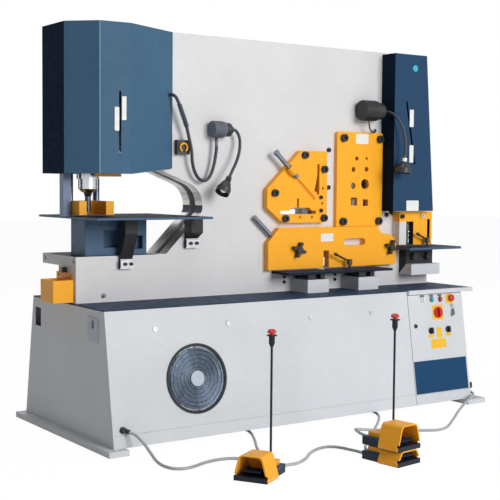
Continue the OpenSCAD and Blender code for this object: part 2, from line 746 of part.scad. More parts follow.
// Section shear openings, each grown by the same amount
module section_holes(grow, y0, y1) {
  for (h = section_round) rod_y(h[0], h[1], h[2] + grow, y0, y1);
  for (h = section_square) {
    half = h[2] / 2 + grow;
    box([h[0] - half, y0, h[1] - half], [h[0] + half, y1, h[1] + half]);
  }
}

guard_front = front_y - guard_t;

angle_outline = rounded([[202, 1520, 12], [398, 1520, 12], [402, 1102, 12], [78, 1102, 12],
  [-35, 1190, 12], [-35, 1298, 20]]);
angle_bolts = [[229, 1496], [374, 1415], [15, 1275], [91, 1127], [374, 1128]];
angle_holes = [[368, 1302], [364, 1214], [201, 1135], [289, 1134]];
screw_dir = unit([124, -113]);
angle_screw = [20, 1499];
angle_screw_y = guard_front - 16;
angle_screw_len = 196;
boss_from = 114;
boss_len = 50;

// Cylinder along a slanted line in the guard's plane
module slant_rod(from, length, r, y)
  translate([from[0], y, from[1]]) rotate([0, 90 - atan2(screw_dir[1], screw_dir[0]), 0])
    cylinder(h = length, r = r);

module angle_guard() color("orange")
  difference() {
    union() {
      plate_xz(angle_outline, guard_front, front_y);
      slant_rod(angle_screw + screw_dir * boss_from, boss_len, screw_r + 8, angle_screw_y);
    }
    box([58, guard_front - 40, 1152], [318, front_y + 1, 1172]);
    plate_xz([[120, 1171], [285, 1171], [270, 1190], [140, 1190]], guard_front - 1, front_y + 1);
    box([178, guard_front - 1, 1185], [192, front_y + 1, 1243]);
    box([325, guard_front - 1, 1265], [341, front_y + 1, 1445]);
    plate_xz([[326, 1385], [326, 1275], [304, 1290], [312, 1320]], guard_front - 1, front_y + 1);
    for (h = angle_holes) rod_y(h[0], h[1], 9, guard_front - 1, guard_front + 24);
    slant_rod(angle_screw, angle_screw_len, screw_r + run_c, angle_screw_y);
    translate([angle_screw[0], guard_front, angle_screw[1]])
      rotate([0, 90 - atan2(screw_dir[1], screw_dir[0]), 0])
        translate([-9, -5, angle_screw_len + 4]) cube([18, 11, 190]);
  }

module angle_hold_down() color("silver") {
  slant_rod(angle_screw, angle_screw_len, screw_r, angle_screw_y);
  slant_rod(angle_screw - screw_dir * 16, 17, screw_r + 4, angle_screw_y);
}

module section_plate() color("orange")
  difference() {
    plate_xz(rounded([[486, 1642, 14], [846, 1642, 14], [846, flat_top + 1, 0], [486, flat_top + 1, 0]]),
      front_y - section_t, front_y);
    section_holes(0, front_y - section_t - 1, front_y + 1);
  }

flat_right = 955;
flat_outline = rounded([[52, flat_top, 12], [800, flat_top, 12], [826, 1032, 10], [914, 1018, 12],
  [flat_right, 978, 12], [flat_right, 834, 8], [-25, 832, 8], [-25, 992, 12]]);
star_at = [[184, 944], [900, 942]];
flat_screw = [-112, 1138];
star_stem_r = 8;

module flat_guard() color("orange")
  difference() {
    plate_xz(flat_outline, guard_front, front_y);
    box([380, guard_front - 1, 800], [420, front_y + 1, 934]);
    box([556, guard_front - 1, 959], [682, front_y + 1, 1002]);
    for (x = [556, 682]) rod_y(x, 980.5, 21.5, guard_front - 1, front_y + 1);
    for (p = star_at) rod_y(p[0], p[1], star_stem_r + run_c, guard_front - 1, front_y - 8);
    slant_rod(flat_screw, 230, screw_r * 0.7 + run_c, front_y - guard_t / 2);
  }

module flat_hold_down() color("silver") {
  slant_rod(flat_screw, 148, screw_r, front_y - guard_t / 2);
  slant_rod(flat_screw, 226, screw_r * 0.7, front_y - guard_t / 2);
}

// Four-lobed clamping knob with its stem in the guard
module star_knob(p) {
  knob_y = guard_front - slide_c;
  rod_y(p[0], p[1], star_stem_r, knob_y - 2, front_y - 9);
  rod_y(p[0], p[1], 20, knob_y - 34, knob_y);
  for (a = [20:90:290])
    translate([p[0], 0, p[1]]) rotate([0, a, 0]) {
      box([0, knob_y - 30, -8], [34, knob_y - 10, 8]);
      rod_y(36, 0, 11, knob_y - 31, knob_y - 9);
    }
}

module left_star_knob() color("black") star_knob(star_at[0]);
module right_star_knob() color("black") star_knob(star_at[1]);

// Socket screw head that stands on a face
module bolt_head(x, z, y, r)
  difference() {
    rod_y(x, z, r, y - r * 0.9, y);
    translate([x, y - r * 0.4, z]) rotate([90, 0, 0]) cylinder(h = r, r = r * 0.5, $fn = 6);
  }

module guard_bolts() color("black") {
  for (p = angle_bolts) bolt_head(p[0], p[1], guard_front, 21);
  for (p = [[352, 1250], [354, 1172]]) bolt_head(p[0], p[1], guard_front, 11);
  for (p = [[533, 1605], [818, 1605], [533, 1104], [815, 1104]])
    bolt_head(p[0], p[1], front_y - section_t, 23);
  for (p = [[440, 1531], [440, 1308], [905, 1140]]) bolt_head(p[0], p[1], front_y, 13);
  for (x = [120, 410, 500, 740]) for (z = [755, 785]) bolt_head(x, z, front_y, 9);
  for (p = [[979, 1132], [1147, 1134]]) bolt_head(p[0], p[1], notch_front, 14);
}

// Tables and supports

module flat_table() color("darkslategray")
  difference() {
    box([30, front_y - 165, flat_z - 14], [822, front_y, flat_z]);
    box([379, front_y - 40, flat_z - 15], [421, front_y + 1, flat_z + 1]);
  }

// Clamping lever: screw, eight-sided hub and a rising arm with a thick grip end
module clamp_lever(x, y, z, reach, rise) {
  arm = norm([reach, rise]);
  grip = 26;
  translate([x, y, z + slide_c]) cylinder(h = 30, r = 8);
  translate([x, y, z + 24]) cylinder(h = 34, r = 16, $fn = 8);
  translate([x, y, z + 44]) rotate([0, -atan2(reach, rise), 0]) {
    cylinder(h = arm - grip / 2, r = 6);
    translate([0, 0, arm - grip / 2]) cylinder(h = grip / 4, r1 = 6, r2 = 10);
    translate([0, 0, arm - grip / 4]) cylinder(h = grip / 2, r = 10);
    translate([0, 0, arm + grip / 4]) cylinder(h = grip / 4, r1 = 10, r2 = 6);
  }
}

module flat_lever() color("black") clamp_lever(545, front_y - 85, flat_z, 105, 46);
module notch_lever() color("black")
  clamp_lever(1165, notch_front - 34, notch_jaw_z + notch_table_t, 78, 36);

// Support blocks under the flat table and the notching table
module station_brackets() {
  color("lightgray") {
    for (x = [170, 550]) box([x, front_y - 165, deck_z], [x + 155, front_y, 776]);
    box([1020, front_y - 115, 767], [frame_right, front_y, 834]);
  }
  color("black") {
    for (x = [185, 565]) {
      box([x, front_y - 150, 776], [x + 55, front_y - 30, flat_z - 14]);
      box([x + 90, front_y - 150, 776], [x + 120, front_y - 30, flat_z - 14]);
    }
    box([1020, front_y - 65, 834], [1245, front_y, notch_jaw_z]);
    for (x = [1075, 1190]) rod_y(x, 880, 22, front_y - 95, front_y - 65);
  }
}

// Notcher

module notch_guard() {
  color("orange") difference() {
    box([flat_right + 5, notch_front, 953], [1235, front_y, 1160]);
    box([1018, notch_front - 1, 950], [1077, front_y + 1, 1099]);
    box([1195, notch_front - 1, 972], [1217, front_y + 1, 1112]);
  }
  color("dimgray") difference() {
    box([notch_in_x, front_y, 1000], [1235, rear_y, 1090]);
    box([notch_x - 28 - slide_c, mid_y - 25 - slide_c, 990],
        [notch_x + 28 + slide_c, mid_y + 25 + slide_c, 1100]);
    box([1195, front_y - 1, 990], [1217, rear_y + 1, 1100]);
  }
}

// Notching punch, driven by the beam's underside
module notch_ram() color("gray") {
  ball_z = beam_under - ram_gap - 24;
  box([notch_x - 28, mid_y - 25, 975], [notch_x + 28, mid_y + 25, 1140]);
  translate([notch_x, mid_y, 1139]) cylinder(h = ball_z - 1139, r = 24);
  translate([notch_x, mid_y, ball_z]) sphere(r = 24);
}

module notch_table() color("darkslategray")
  difference() {
    translate([0, 0, notch_jaw_z]) linear_extrude(notch_table_t)
      polygon([[flat_right + 5, front_y - 165], [1400, front_y - 165], [1400, rear_y + 165],
               [notch_in_x + 2, rear_y + 165], [notch_in_x + 2, front_y - 2],
               [flat_right + 5, front_y - 2]]);
    box([notch_x - 31, mid_y - 28, notch_jaw_z - 1], [notch_x + 31, mid_y + 28, notch_jaw_z + 30]);
  }

// Work lamps

// Bell on the end of a neck, open at the far end
module lamp_head(neck, r, length) {
  at = neck[len(neck) - 1];
  dir = unit(at - neck[len(neck) - 2]);
  translate(at) rotate([0, acos(dir[2]), atan2(dir[1], dir[0])]) rotate_extrude()
    polygon([[0, 0], [14, 0], [14, 24], [r * 0.62, 40], [r, length - 30], [r, length],
             [r - 4, length], [r - 4, length - 28], [r * 0.62 - 4, 46], [0, 46]]);
}

module work_lamps() {
  color("gray") {
    rod_x(-130, 1624, 44, -416, -338);
    box([-410, -130, 1590], [-345, front_y, 1658]);
    box([-626, front_y - 32, 1482], [-548, front_y, 1560]);
  }
  color("black") {
    rod_x(-130, 1624, 38, -338, -302);
    rod_x(-130, 1624, 20, -302, -282);
    rod_x(-150, 1772, 60, 640, 750);
    box([655, -150, 1730], [735, front_y, 1814]);
    rod_x(-150, 1772, 50, 750, 792);
    rod_x(-150, 1772, 20, 792, 812);
    lamp_head(left_neck, 40, 108);
    lamp_head(right_neck, 48, 92);
  }
}

module lamp_conduits() color("black") {
  tube(left_neck, neck_r);
  tube(left_feed, neck_r);
  tube(right_neck, neck_r);
  tube(right_lead, 5, 8);
}

// Pedals

// Shroud wall in Y and Z: straight sides that lean in, round shoulders
function shroud_wall(h, inset) = rounded([
  [pedal_w / 2 - inset, pedal_floor, 0], [pedal_w / 2 - 26 - inset, h - inset, 22],
  [-pedal_w / 2 + 26 + inset, h - inset, 22], [-pedal_w / 2 + inset, pedal_floor, 0]]);

module pedal_shroud(p, h, post)
  on_pedal(p) {
    difference() {
      bar_yz(shroud_wall(h, 0), 0, shroud_len);
      bar_yz(shroud_wall(h, shroud_t), -1, shroud_len - shroud_t);
      translate([0, -pedal_w, pedal_floor - 1]) cube([14, 2 * pedal_w, 12]);
    }
    difference() {
      translate([shroud_len, -54, tail_h]) cube([88, 108, 24]);
      translate([post[0], post[1], 0]) cylinder(h = 100, r = post_r + 1);
    }
  }

module pedal_shrouds() color("orange") {
  pedal_shroud(left_pedal, left_shroud_h, left_post_at);
  pedal_shroud(lower_pedal, lower_shroud_h, right_post_at);
  pedal_shroud(upper_pedal, upper_shroud_h, right_post_at);
}

module pedal_base(p)
  on_pedal(p) {
    translate([0, -pedal_w / 2, 0]) cube([shroud_len, pedal_w, pedal_floor]);
    translate([shroud_len, -tail_half, 0]) cube([pedal_len - shroud_len, 2 * tail_half, tail_h]);
    for (s = [-1, 1])
      translate([treadle_pivot_x, s * 54 - 5, pedal_floor]) difference() {
        translate([-9, 0, 0]) cube([18, 10, 24]);
        translate([0, -1, 13]) rotate([-90, 0, 0]) cylinder(h = 12, r = 5 + run_c);
      }
  }

// Post with the grip body and flange of its emergency stop
module stop_post(p, at, low, top)
  on_pedal([p[0], p[1], 0, p[3]]) translate([at[0], at[1], 0]) {
    translate([0, 0, low]) cylinder(h = top - low, r = post_r);
    translate([0, 0, top]) difference() {
      union() {
        cylinder(h = stop_taper_h, r1 = post_r + 1, r2 = stop_body_r);
        translate([0, 0, stop_taper_h]) cylinder(h = stop_body_h, r = stop_body_r);
        translate([0, 0, stop_h - stop_flange_h]) cylinder(h = stop_flange_h, r = stop_flange_r);
      }
      translate([0, 0, stop_taper_h + 4]) cylinder(h = stop_h, r = button_r + slide_c);
    }
  }

module pedal_bases() color("midnightblue") {
  pedal_base(left_pedal);
  pedal_base(lower_pedal);
  pedal_base(upper_pedal);
  stop_post(left_pedal, left_post_at, tail_h, left_post_top);
  stop_post(upper_pedal, right_post_at, lower_shroud_h + tail_h, right_post_top);
}

module treadle(p)
  on_pedal(p) translate([treadle_pivot_x, 0, pedal_floor + 13]) {
    rotate([90, 0, 0]) translate([0, 0, -58]) cylinder(h = 116, r = 5);
    rotate([0, 6, 0]) translate([-86, -46, -4]) cube([86, 92, 8]);
    for (x = [-74:16:-20]) rotate([0, 6, 0]) translate([x, -40, 3]) cube([6, 80, 4]);
  }

module left_treadle() color("slategray") treadle(left_pedal);
module lower_treadle() color("slategray") treadle(lower_pedal);
module upper_treadle() color("slategray") treadle(upper_pedal);

// Mushroom button on a post
module post_stop(p, at, top)
  on_pedal([p[0], p[1], 0, p[3]]) translate([at[0], at[1], top + stop_h]) {
    translate([0, 0, -stop_stem]) cylinder(h = stop_stem + stop_neck_h + 1, r = button_r);
    translate([0, 0, stop_neck_h]) cylinder(h = 10, r1 = 20.5, r2 = 20);
    translate([0, 0, stop_neck_h + 10]) cylinder(h = 7, r1 = 20, r2 = 12);
  }

module left_post_stop() color("red") post_stop(left_pedal, left_post_at, left_post_top);
module right_post_stop() color("red") post_stop(upper_pedal, right_post_at, right_post_top);

// Hoses

module hose_left() color("gray") tube(left_route, hose_r);
module hose_link() color("gray") tube(link_route, hose_r);
module hose_right() color("gray") tube(right_route, hose_r);
module floor_hoses() color("gray") for (r = floor_routes) tube(r, hose_r);

base_cabinet();
front_panel();
panel_fittings();
worktop();
fan_guard();
fan_rotor();
power_unit();
control_gear();
cabinet_door();
start_button();
stop_button();
panel_estop();
main_switch();
mode_switch();
left_selector();
right_selector();
main_frame();
jaw_plate();
slug_bin();
punch_cover();
shear_cover();
punch_cylinder();
punch_ram();
punch();
stripper();
die_block();
fixed_tools();
punch_table();
table_straps();
shear_cylinder();
shear_ram();
shear_beam();
angle_guard();
section_plate();
flat_guard();
guard_bolts();
angle_hold_down();
flat_hold_down();
left_star_knob();
right_star_knob();
flat_table();
flat_lever();
notch_guard();
notch_ram();
notch_table();
notch_lever();
station_brackets();
work_lamps();
lamp_conduits();
pedal_shrouds();
pedal_bases();
left_treadle();
lower_treadle();
upper_treadle();
left_post_stop();
right_post_stop();
hose_left();
hose_link();
hose_right();
floor_hoses();
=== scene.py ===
"""Looks of a hydraulic ironworker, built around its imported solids. Metres, +Z up."""

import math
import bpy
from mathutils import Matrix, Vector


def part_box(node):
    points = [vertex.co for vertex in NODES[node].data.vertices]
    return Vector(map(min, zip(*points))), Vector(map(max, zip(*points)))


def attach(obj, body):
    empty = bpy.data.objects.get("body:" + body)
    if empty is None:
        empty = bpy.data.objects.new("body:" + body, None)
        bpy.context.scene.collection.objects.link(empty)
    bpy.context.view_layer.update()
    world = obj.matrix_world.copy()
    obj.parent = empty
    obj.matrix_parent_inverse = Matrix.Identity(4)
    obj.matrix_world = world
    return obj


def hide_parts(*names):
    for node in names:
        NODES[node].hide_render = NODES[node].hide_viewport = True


bl_info = {
    "name": "Hydraulic Ironworker",
    "version": (1, 0, 0),
    "blender": (4, 5, 0),
    "location": "View3D > Sidebar > Ironworker",
    "description": "Finishes, hoses, lamps and control plates of a hydraulic ironworker",
    "category": "Object",
}

import bmesh
import bpy
from bpy.props import FloatProperty, FloatVectorProperty, PointerProperty
from bpy.types import Operator, Panel, PropertyGroup
from mathutils import Matrix, Vector

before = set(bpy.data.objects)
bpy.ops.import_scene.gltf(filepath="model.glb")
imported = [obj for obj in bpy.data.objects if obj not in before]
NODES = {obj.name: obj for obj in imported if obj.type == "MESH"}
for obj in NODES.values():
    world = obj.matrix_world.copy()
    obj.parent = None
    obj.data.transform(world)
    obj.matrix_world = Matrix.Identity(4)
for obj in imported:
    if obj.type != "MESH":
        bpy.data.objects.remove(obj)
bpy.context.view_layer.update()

# The cabinet's leaning front, from the panel's lowest to its highest edge
PANEL_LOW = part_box("front_panel")[0]
PANEL_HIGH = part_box("front_panel")[1]
SHEET = 0.005
FRONT_LOW_Y = PANEL_LOW.y
FRONT_HIGH_Y = PANEL_HIGH.y - SHEET
FRONT_TILT = math.atan2(FRONT_HIGH_Y - FRONT_LOW_Y, PANEL_HIGH.z - PANEL_LOW.z)

# Faces that carry plates and marks
FRAME_FACE_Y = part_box("main_frame")[0].y
FRAME_MIDDLE_Y = (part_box("main_frame")[0].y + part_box("main_frame")[1].y) / 2
GUARD_FACE_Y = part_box("flat_guard")[0].y
SECTION_FACE_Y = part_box("section_plate")[0].y
SHEAR_COVER_FACE_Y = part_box("shear_cover")[0].y
NOTCH_FACE_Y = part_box("notch_guard")[0].y

# Pedals: place of the front edge on the floor and heading of the tail
LEFT_PEDAL = (Vector((-0.936, -1.277, 0.0)), math.radians(31))
LOWER_PEDAL = (Vector((-0.131, -1.441, 0.0)), math.radians(98))
UPPER_PEDAL = (Vector((-0.131, -1.441, 0.072)), math.radians(98))
PEDAL_LENGTH = 0.235
PEDAL_FLOOR = 0.0225
PEDAL_HALF = 0.082
TAIL_RUN = 0.04
HOSE_LIFT = 0.012
RAIL_Y = -0.42

# Lift of an added piece off its face, and slack where faces are picked by their place
SKIN = 0.0001
FACE_SLACK = 0.001
QUARTER_TURN = math.radians(90)


def srgb(red, green, blue):
    """Linear colour of a display colour given as 0 to 255."""
    def linear(level):
        share = level / 255
        return share / 12.92 if share <= 0.04045 else ((share + 0.055) / 1.055) ** 2.4

    return (linear(red), linear(green), linear(blue), 1.0)


def front_y(z):
    """Depth of the leaning front at a height."""
    share = (z - PANEL_LOW.z) / (PANEL_HIGH.z - PANEL_LOW.z)
    return FRONT_LOW_Y + share * (FRONT_HIGH_Y - FRONT_LOW_Y)


def in_front(point):
    """Whether a point stands proud of the leaning front."""
    return point.y < front_y(point.z) - FACE_SLACK


def on_front(x, z, lift=0.0):
    """Place on the leaning front: local Z outwards, local Y up the panel."""
    outward = Vector((0, -math.cos(FRONT_TILT), math.sin(FRONT_TILT)))
    upward = Vector((0, math.sin(FRONT_TILT), math.cos(FRONT_TILT)))
    place = Matrix((Vector((1, 0, 0)), upward, outward)).transposed().to_4x4()
    place.translation = Vector((x, front_y(z), z)) + outward * lift
    return place


def facing_front(x, y, z):
    """Place on an upright face that looks to the front."""
    place = Matrix.Rotation(QUARTER_TURN, 4, "X")
    place.translation = Vector((x, y, z))
    return place


def pedal_point(pedal, along, across, height):
    """Point on a pedal, measured along its tail, across it and up."""
    place, heading = pedal
    offset = Matrix.Rotation(heading, 3, "Z") @ Vector((along, across, height))
    return place + offset


# Finishes by name, levels between which most of a noise lies, and scales of the noises
FINISHES = {}
NOISE_LOW = 0.3
NOISE_HIGH = 0.7
PAINT_CLOUDS = 2.2
PAINT_SCUFFS = 26.0
PAINT_PEEL = 420.0
STEEL_STREAKS = 30.0
PLASTIC_CLOUDS = 18.0
PLASTIC_GRAIN = 600.0
GLASS_FROST = 90.0


def start_material(name):
    """New finish: its node tree, its shader and the object's coordinates."""
    material = bpy.data.materials.new(name)
    material.use_nodes = True
    tree = material.node_tree
    coordinates = tree.nodes.new("ShaderNodeTexCoord")
    FINISHES[name] = material
    return tree, tree.nodes["Principled BSDF"], coordinates.outputs["Object"]


def add_noise(tree, coordinates, scale, detail=3.0, stretch=(1, 1, 1)):
    """Noise value over the surface, stretched along the axes."""
    mapping = tree.nodes.new("ShaderNodeMapping")
    mapping.inputs["Scale"].default_value = stretch
    noise = tree.nodes.new("ShaderNodeTexNoise")
    noise.inputs["Scale"].default_value = scale
    noise.inputs["Detail"].default_value = detail
    tree.links.new(coordinates, mapping.inputs["Vector"])
    tree.links.new(mapping.outputs["Vector"], noise.inputs["Vector"])
    return noise.outputs["Fac"]


def add_ramp(tree, value, low, high, first, second):
    """Colours between two noise levels."""
    ramp = tree.nodes.new("ShaderNodeValToRGB")
    ramp.color_ramp.elements[0].position = low
    ramp.color_ramp.elements[0].color = first
    ramp.color_ramp.elements[1].position = high
    ramp.color_ramp.elements[1].color = second
    tree.links.new(value, ramp.inputs["Fac"])
    return ramp.outputs["Color"]


def add_range(tree, value, low, high):
    """Number that follows a noise between two levels."""
    spread = tree.nodes.new("ShaderNodeMapRange")
    spread.inputs["From Min"].default_value = NOISE_LOW
    spread.inputs["From Max"].default_value = NOISE_HIGH
    spread.inputs["To Min"].default_value = low
    spread.inputs["To Max"].default_value = high
    tree.links.new(value, spread.inputs["Value"])
    return spread.outputs["Result"]


def add_bump(tree, shader, height, strength, depth):
    """Fine relief from a noise."""
    bump = tree.nodes.new("ShaderNodeBump")
    bump.inputs["Strength"].default_value = strength
    bump.inputs["Distance"].default_value = depth
    tree.links.new(height, bump.inputs["Height"])
    tree.links.new(bump.outputs["Normal"], shader.inputs["Normal"])


def shade(colour, factor):
    """Lighter or darker version of a colour."""
    return tuple(min(1.0, part * factor) for part in colour[:3]) + (1.0,)


def paint(name, colour, roughness, dirt=0.9, sheen=0.3):
    """Sprayed enamel with soft shade changes, scuffs and a slight orange peel."""
    tree, shader, where = start_material(name)
    clouds = add_noise(tree, where, PAINT_CLOUDS)
    tone = add_ramp(tree, clouds, 0.35, 0.68, shade(colour, dirt + 0.06), shade(colour, 1.04))
    scuffs = add_noise(tree, where, PAINT_SCUFFS, 8.0, (1, 1, 3))
    marks = add_range(tree, scuffs, 0.0, 0.16)
    mix = tree.nodes.new("ShaderNodeMix")
    mix.data_type = "RGBA"
    tree.links.new(marks, mix.inputs["Factor"])
    tree.links.new(tone, mix.inputs[6])
    mix.inputs[7].default_value = shade(colour, dirt - 0.12)
    tree.links.new(mix.outputs[2], shader.inputs["Base Color"])
    wear = add_range(tree, scuffs, roughness - 0.07, roughness + 0.1)
    tree.links.new(wear, shader.inputs["Roughness"])
    shader.inputs["Specular IOR Level"].default_value = sheen
    add_bump(tree, shader, add_noise(tree, where, PAINT_PEEL, 2.0), 0.12, 0.0006)


def steel(name, colour, roughness, grain=(1, 1, 40)):
    """Machined steel with a drawn grain and faint stains."""
    tree, shader, where = start_material(name)
    shader.inputs["Metallic"].default_value = 1.0
    streaks = add_noise(tree, where, STEEL_STREAKS, 6.0, grain)
    tone = add_ramp(tree, streaks, NOISE_LOW, NOISE_HIGH, shade(colour, 0.82), shade(colour, 1.1))
    tree.links.new(tone, shader.inputs["Base Color"])
    wear = add_range(tree, streaks, roughness - 0.06, roughness + 0.12)
    tree.links.new(wear, shader.inputs["Roughness"])
    add_bump(tree, shader, streaks, 0.08, 0.0004)


def plastic(name, colour, roughness):
    """Moulded plastic with a fine spark-eroded grain."""
    tree, shader, where = start_material(name)
    clouds = add_noise(tree, where, PLASTIC_CLOUDS, 4.0)
    tone = add_ramp(tree, clouds, NOISE_LOW, NOISE_HIGH, shade(colour, 0.9), shade(colour, 1.06))
    tree.links.new(tone, shader.inputs["Base Color"])
    wear = add_range(tree, clouds, roughness - 0.05, roughness + 0.08)
    tree.links.new(wear, shader.inputs["Roughness"])
    add_bump(tree, shader, add_noise(tree, where, PLASTIC_GRAIN, 2.0), 0.15, 0.0003)


def glowing_glass(name, colour):
    """Frosted lamp glass with a faint glow of its own."""
    tree, shader, where = start_material(name)
    frost = add_noise(tree, where, GLASS_FROST)
    tone = add_ramp(tree, frost, NOISE_LOW, NOISE_HIGH, shade(colour, 0.93), colour)
    tree.links.new(tone, shader.inputs["Base Color"])
    tree.links.new(add_range(tree, frost, 0.12, 0.3), shader.inputs["Roughness"])
    shader.inputs["Emission Color"].default_value = colour
    shader.inputs["Emission Strength"].default_value = 0.25


def make_finishes(looks):
    """All finishes of the machine, from the colours of the panel."""
    paint("frame_paint", looks.frame_colour, 0.45)
    paint("cabinet_paint", looks.cabinet_colour, 0.45)
    paint("punch_cover_paint", looks.punch_cover_colour, 0.5, sheen=0.12)
    paint("shear_cover_paint", looks.shear_cover_colour, 0.5, sheen=0.12)
    # Dark navy for the covers' left sides: partly their own darker paint, partly painted shade
    paint("navy_and_painted_shade", srgb(12, 28, 50), 0.7, 0.85, sheen=0.04)
    # Pale strip along the punch cover's fold: a painted highlight
    paint("fold_highlight_paint", srgb(150, 176, 200), 0.4)
    paint("plate_grey", srgb(186, 194, 206), 0.45)
    paint("slate_paint", srgb(46, 63, 88), 0.55, 0.85, sheen=0.1)
    paint("guard_paint", looks.guard_colour, 0.38, 0.92)
    # Black paint, also used as painted shade on the walls of the notcher guard's recess and slot
    paint("black_paint_and_shade", srgb(38, 39, 43), 0.5, 0.85)
    paint("plate_blue_paint", srgb(28, 68, 106), 0.42, sheen=0.1)
    paint("throat_paint", srgb(62, 90, 118), 0.45)
    paint("navy_paint", srgb(16, 26, 40), 0.5, 0.85)
    paint("legend_grey", srgb(96, 104, 114), 0.45)
    paint("label_white", srgb(232, 233, 230), 0.45)
    paint("label_yellow", srgb(244, 190, 45), 0.42)
    steel("tool_steel", srgb(150, 153, 158), 0.38)
    paint("table_paint", srgb(34, 44, 60), 0.6, 0.85, sheen=0.06)
    steel("bright_steel", srgb(205, 208, 212), 0.2)
    steel("column_steel", srgb(84, 94, 110), 0.28)
    # Pale steel that stands in for light falling on the frame's throat edges: painted light
    steel("painted_light_steel", srgb(232, 229, 226), 0.42, (1, 1, 1))
    steel("wire_steel", srgb(190, 196, 204), 0.3, (1, 1, 1))
    steel("fan_steel", srgb(148, 166, 188), 0.3, (1, 1, 1))
    plastic("black_plastic", srgb(28, 29, 32), 0.42)
    plastic("conduit_plastic", srgb(46, 54, 66), 0.5)
    plastic("red_plastic", srgb(196, 32, 34), 0.3)
    plastic("teal_plastic", srgb(34, 176, 200), 0.3)
    plastic("hose_rubber", looks.hose_colour, 0.55)
    steel("dark_steel", srgb(74, 66, 62), 0.5, (1, 1, 1))
    steel("screw_steel", srgb(138, 146, 158), 0.22)
    # Darker orange for the groove in the angle guard: painted shade
    paint("painted_groove_shade", srgb(226, 138, 22), 0.42)
    glowing_glass("lamp_glass", srgb(250, 244, 226))


# Finish of every solid that is shown as it is
NODE_FINISH = {
    "base_cabinet": "cabinet_paint", "front_panel": "cabinet_paint",
    "cabinet_door": "cabinet_paint", "panel_fittings": "black_paint_and_shade", "worktop": "slate_paint",
    "fan_guard": "column_steel", "fan_rotor": "conduit_plastic", "power_unit": "plate_blue_paint",
    "control_gear": "label_white", "start_button": "teal_plastic", "stop_button": "red_plastic",
    "panel_estop": "red_plastic", "main_switch": "red_plastic", "mode_switch": "label_white",
    "left_selector": "black_plastic", "right_selector": "black_plastic",
    "main_frame": "frame_paint", "jaw_plate": "frame_paint", "slug_bin": "guard_paint",
    "punch_cover": "punch_cover_paint", "shear_cover": "shear_cover_paint",
    "punch_cylinder": "black_paint_and_shade", "punch_ram": "bright_steel", "punch": "column_steel",
    "stripper": "guard_paint", "die_block": "throat_paint", "fixed_tools": "dark_steel",
    "punch_table": "table_paint", "table_straps": "black_paint_and_shade", "shear_cylinder": "black_paint_and_shade",
    "shear_ram": "bright_steel", "shear_beam": "tool_steel", "angle_guard": "guard_paint",
    "section_plate": "guard_paint", "flat_guard": "guard_paint", "guard_bolts": "black_paint_and_shade",
    "angle_hold_down": "screw_steel", "flat_hold_down": "screw_steel",
    "left_star_knob": "black_plastic", "right_star_knob": "black_plastic",
    "flat_table": "table_paint", "flat_lever": "black_plastic", "notch_guard": "guard_paint",
    "notch_ram": "tool_steel", "notch_table": "table_paint", "notch_lever": "black_plastic",
    "station_brackets": "cabinet_paint", "work_lamps": "black_plastic",
    "pedal_shrouds": "guard_paint", "pedal_bases": "plate_blue_paint",
    "left_treadle": "table_paint", "lower_treadle": "table_paint", "upper_treadle": "table_paint",
    "left_post_stop": "red_plastic", "right_post_stop": "red_plastic",
}

# Top of the stripper's fork, under its columns, and the fan's axis on the leaning front
STRIPPER_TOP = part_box("stripper")[0].z + 0.08
FAN_PLACE = (-0.723, 0.327)

# Recess and slot in the notcher's guard: left, right and top edge
NOTCH_OPENINGS = ((1.017, 1.078, 1.100), (1.194, 1.218, 1.113))


def out_of_fan(point):
    """Distance of a point from the fan's axis."""
    return math.hypot(point.x - FAN_PLACE[0], (point.z - FAN_PLACE[1]) / math.cos(FRONT_TILT))


def in_notch_recess(point):
    """Whether a point lies on the walls of the recess or the slot in the notcher's guard."""
    inside = NOTCH_FACE_Y + FACE_SLACK < point.y < FRAME_FACE_Y + FACE_SLACK
    return inside and any(left < point.x < right and point.z < top
                          for left, right, top in NOTCH_OPENINGS)


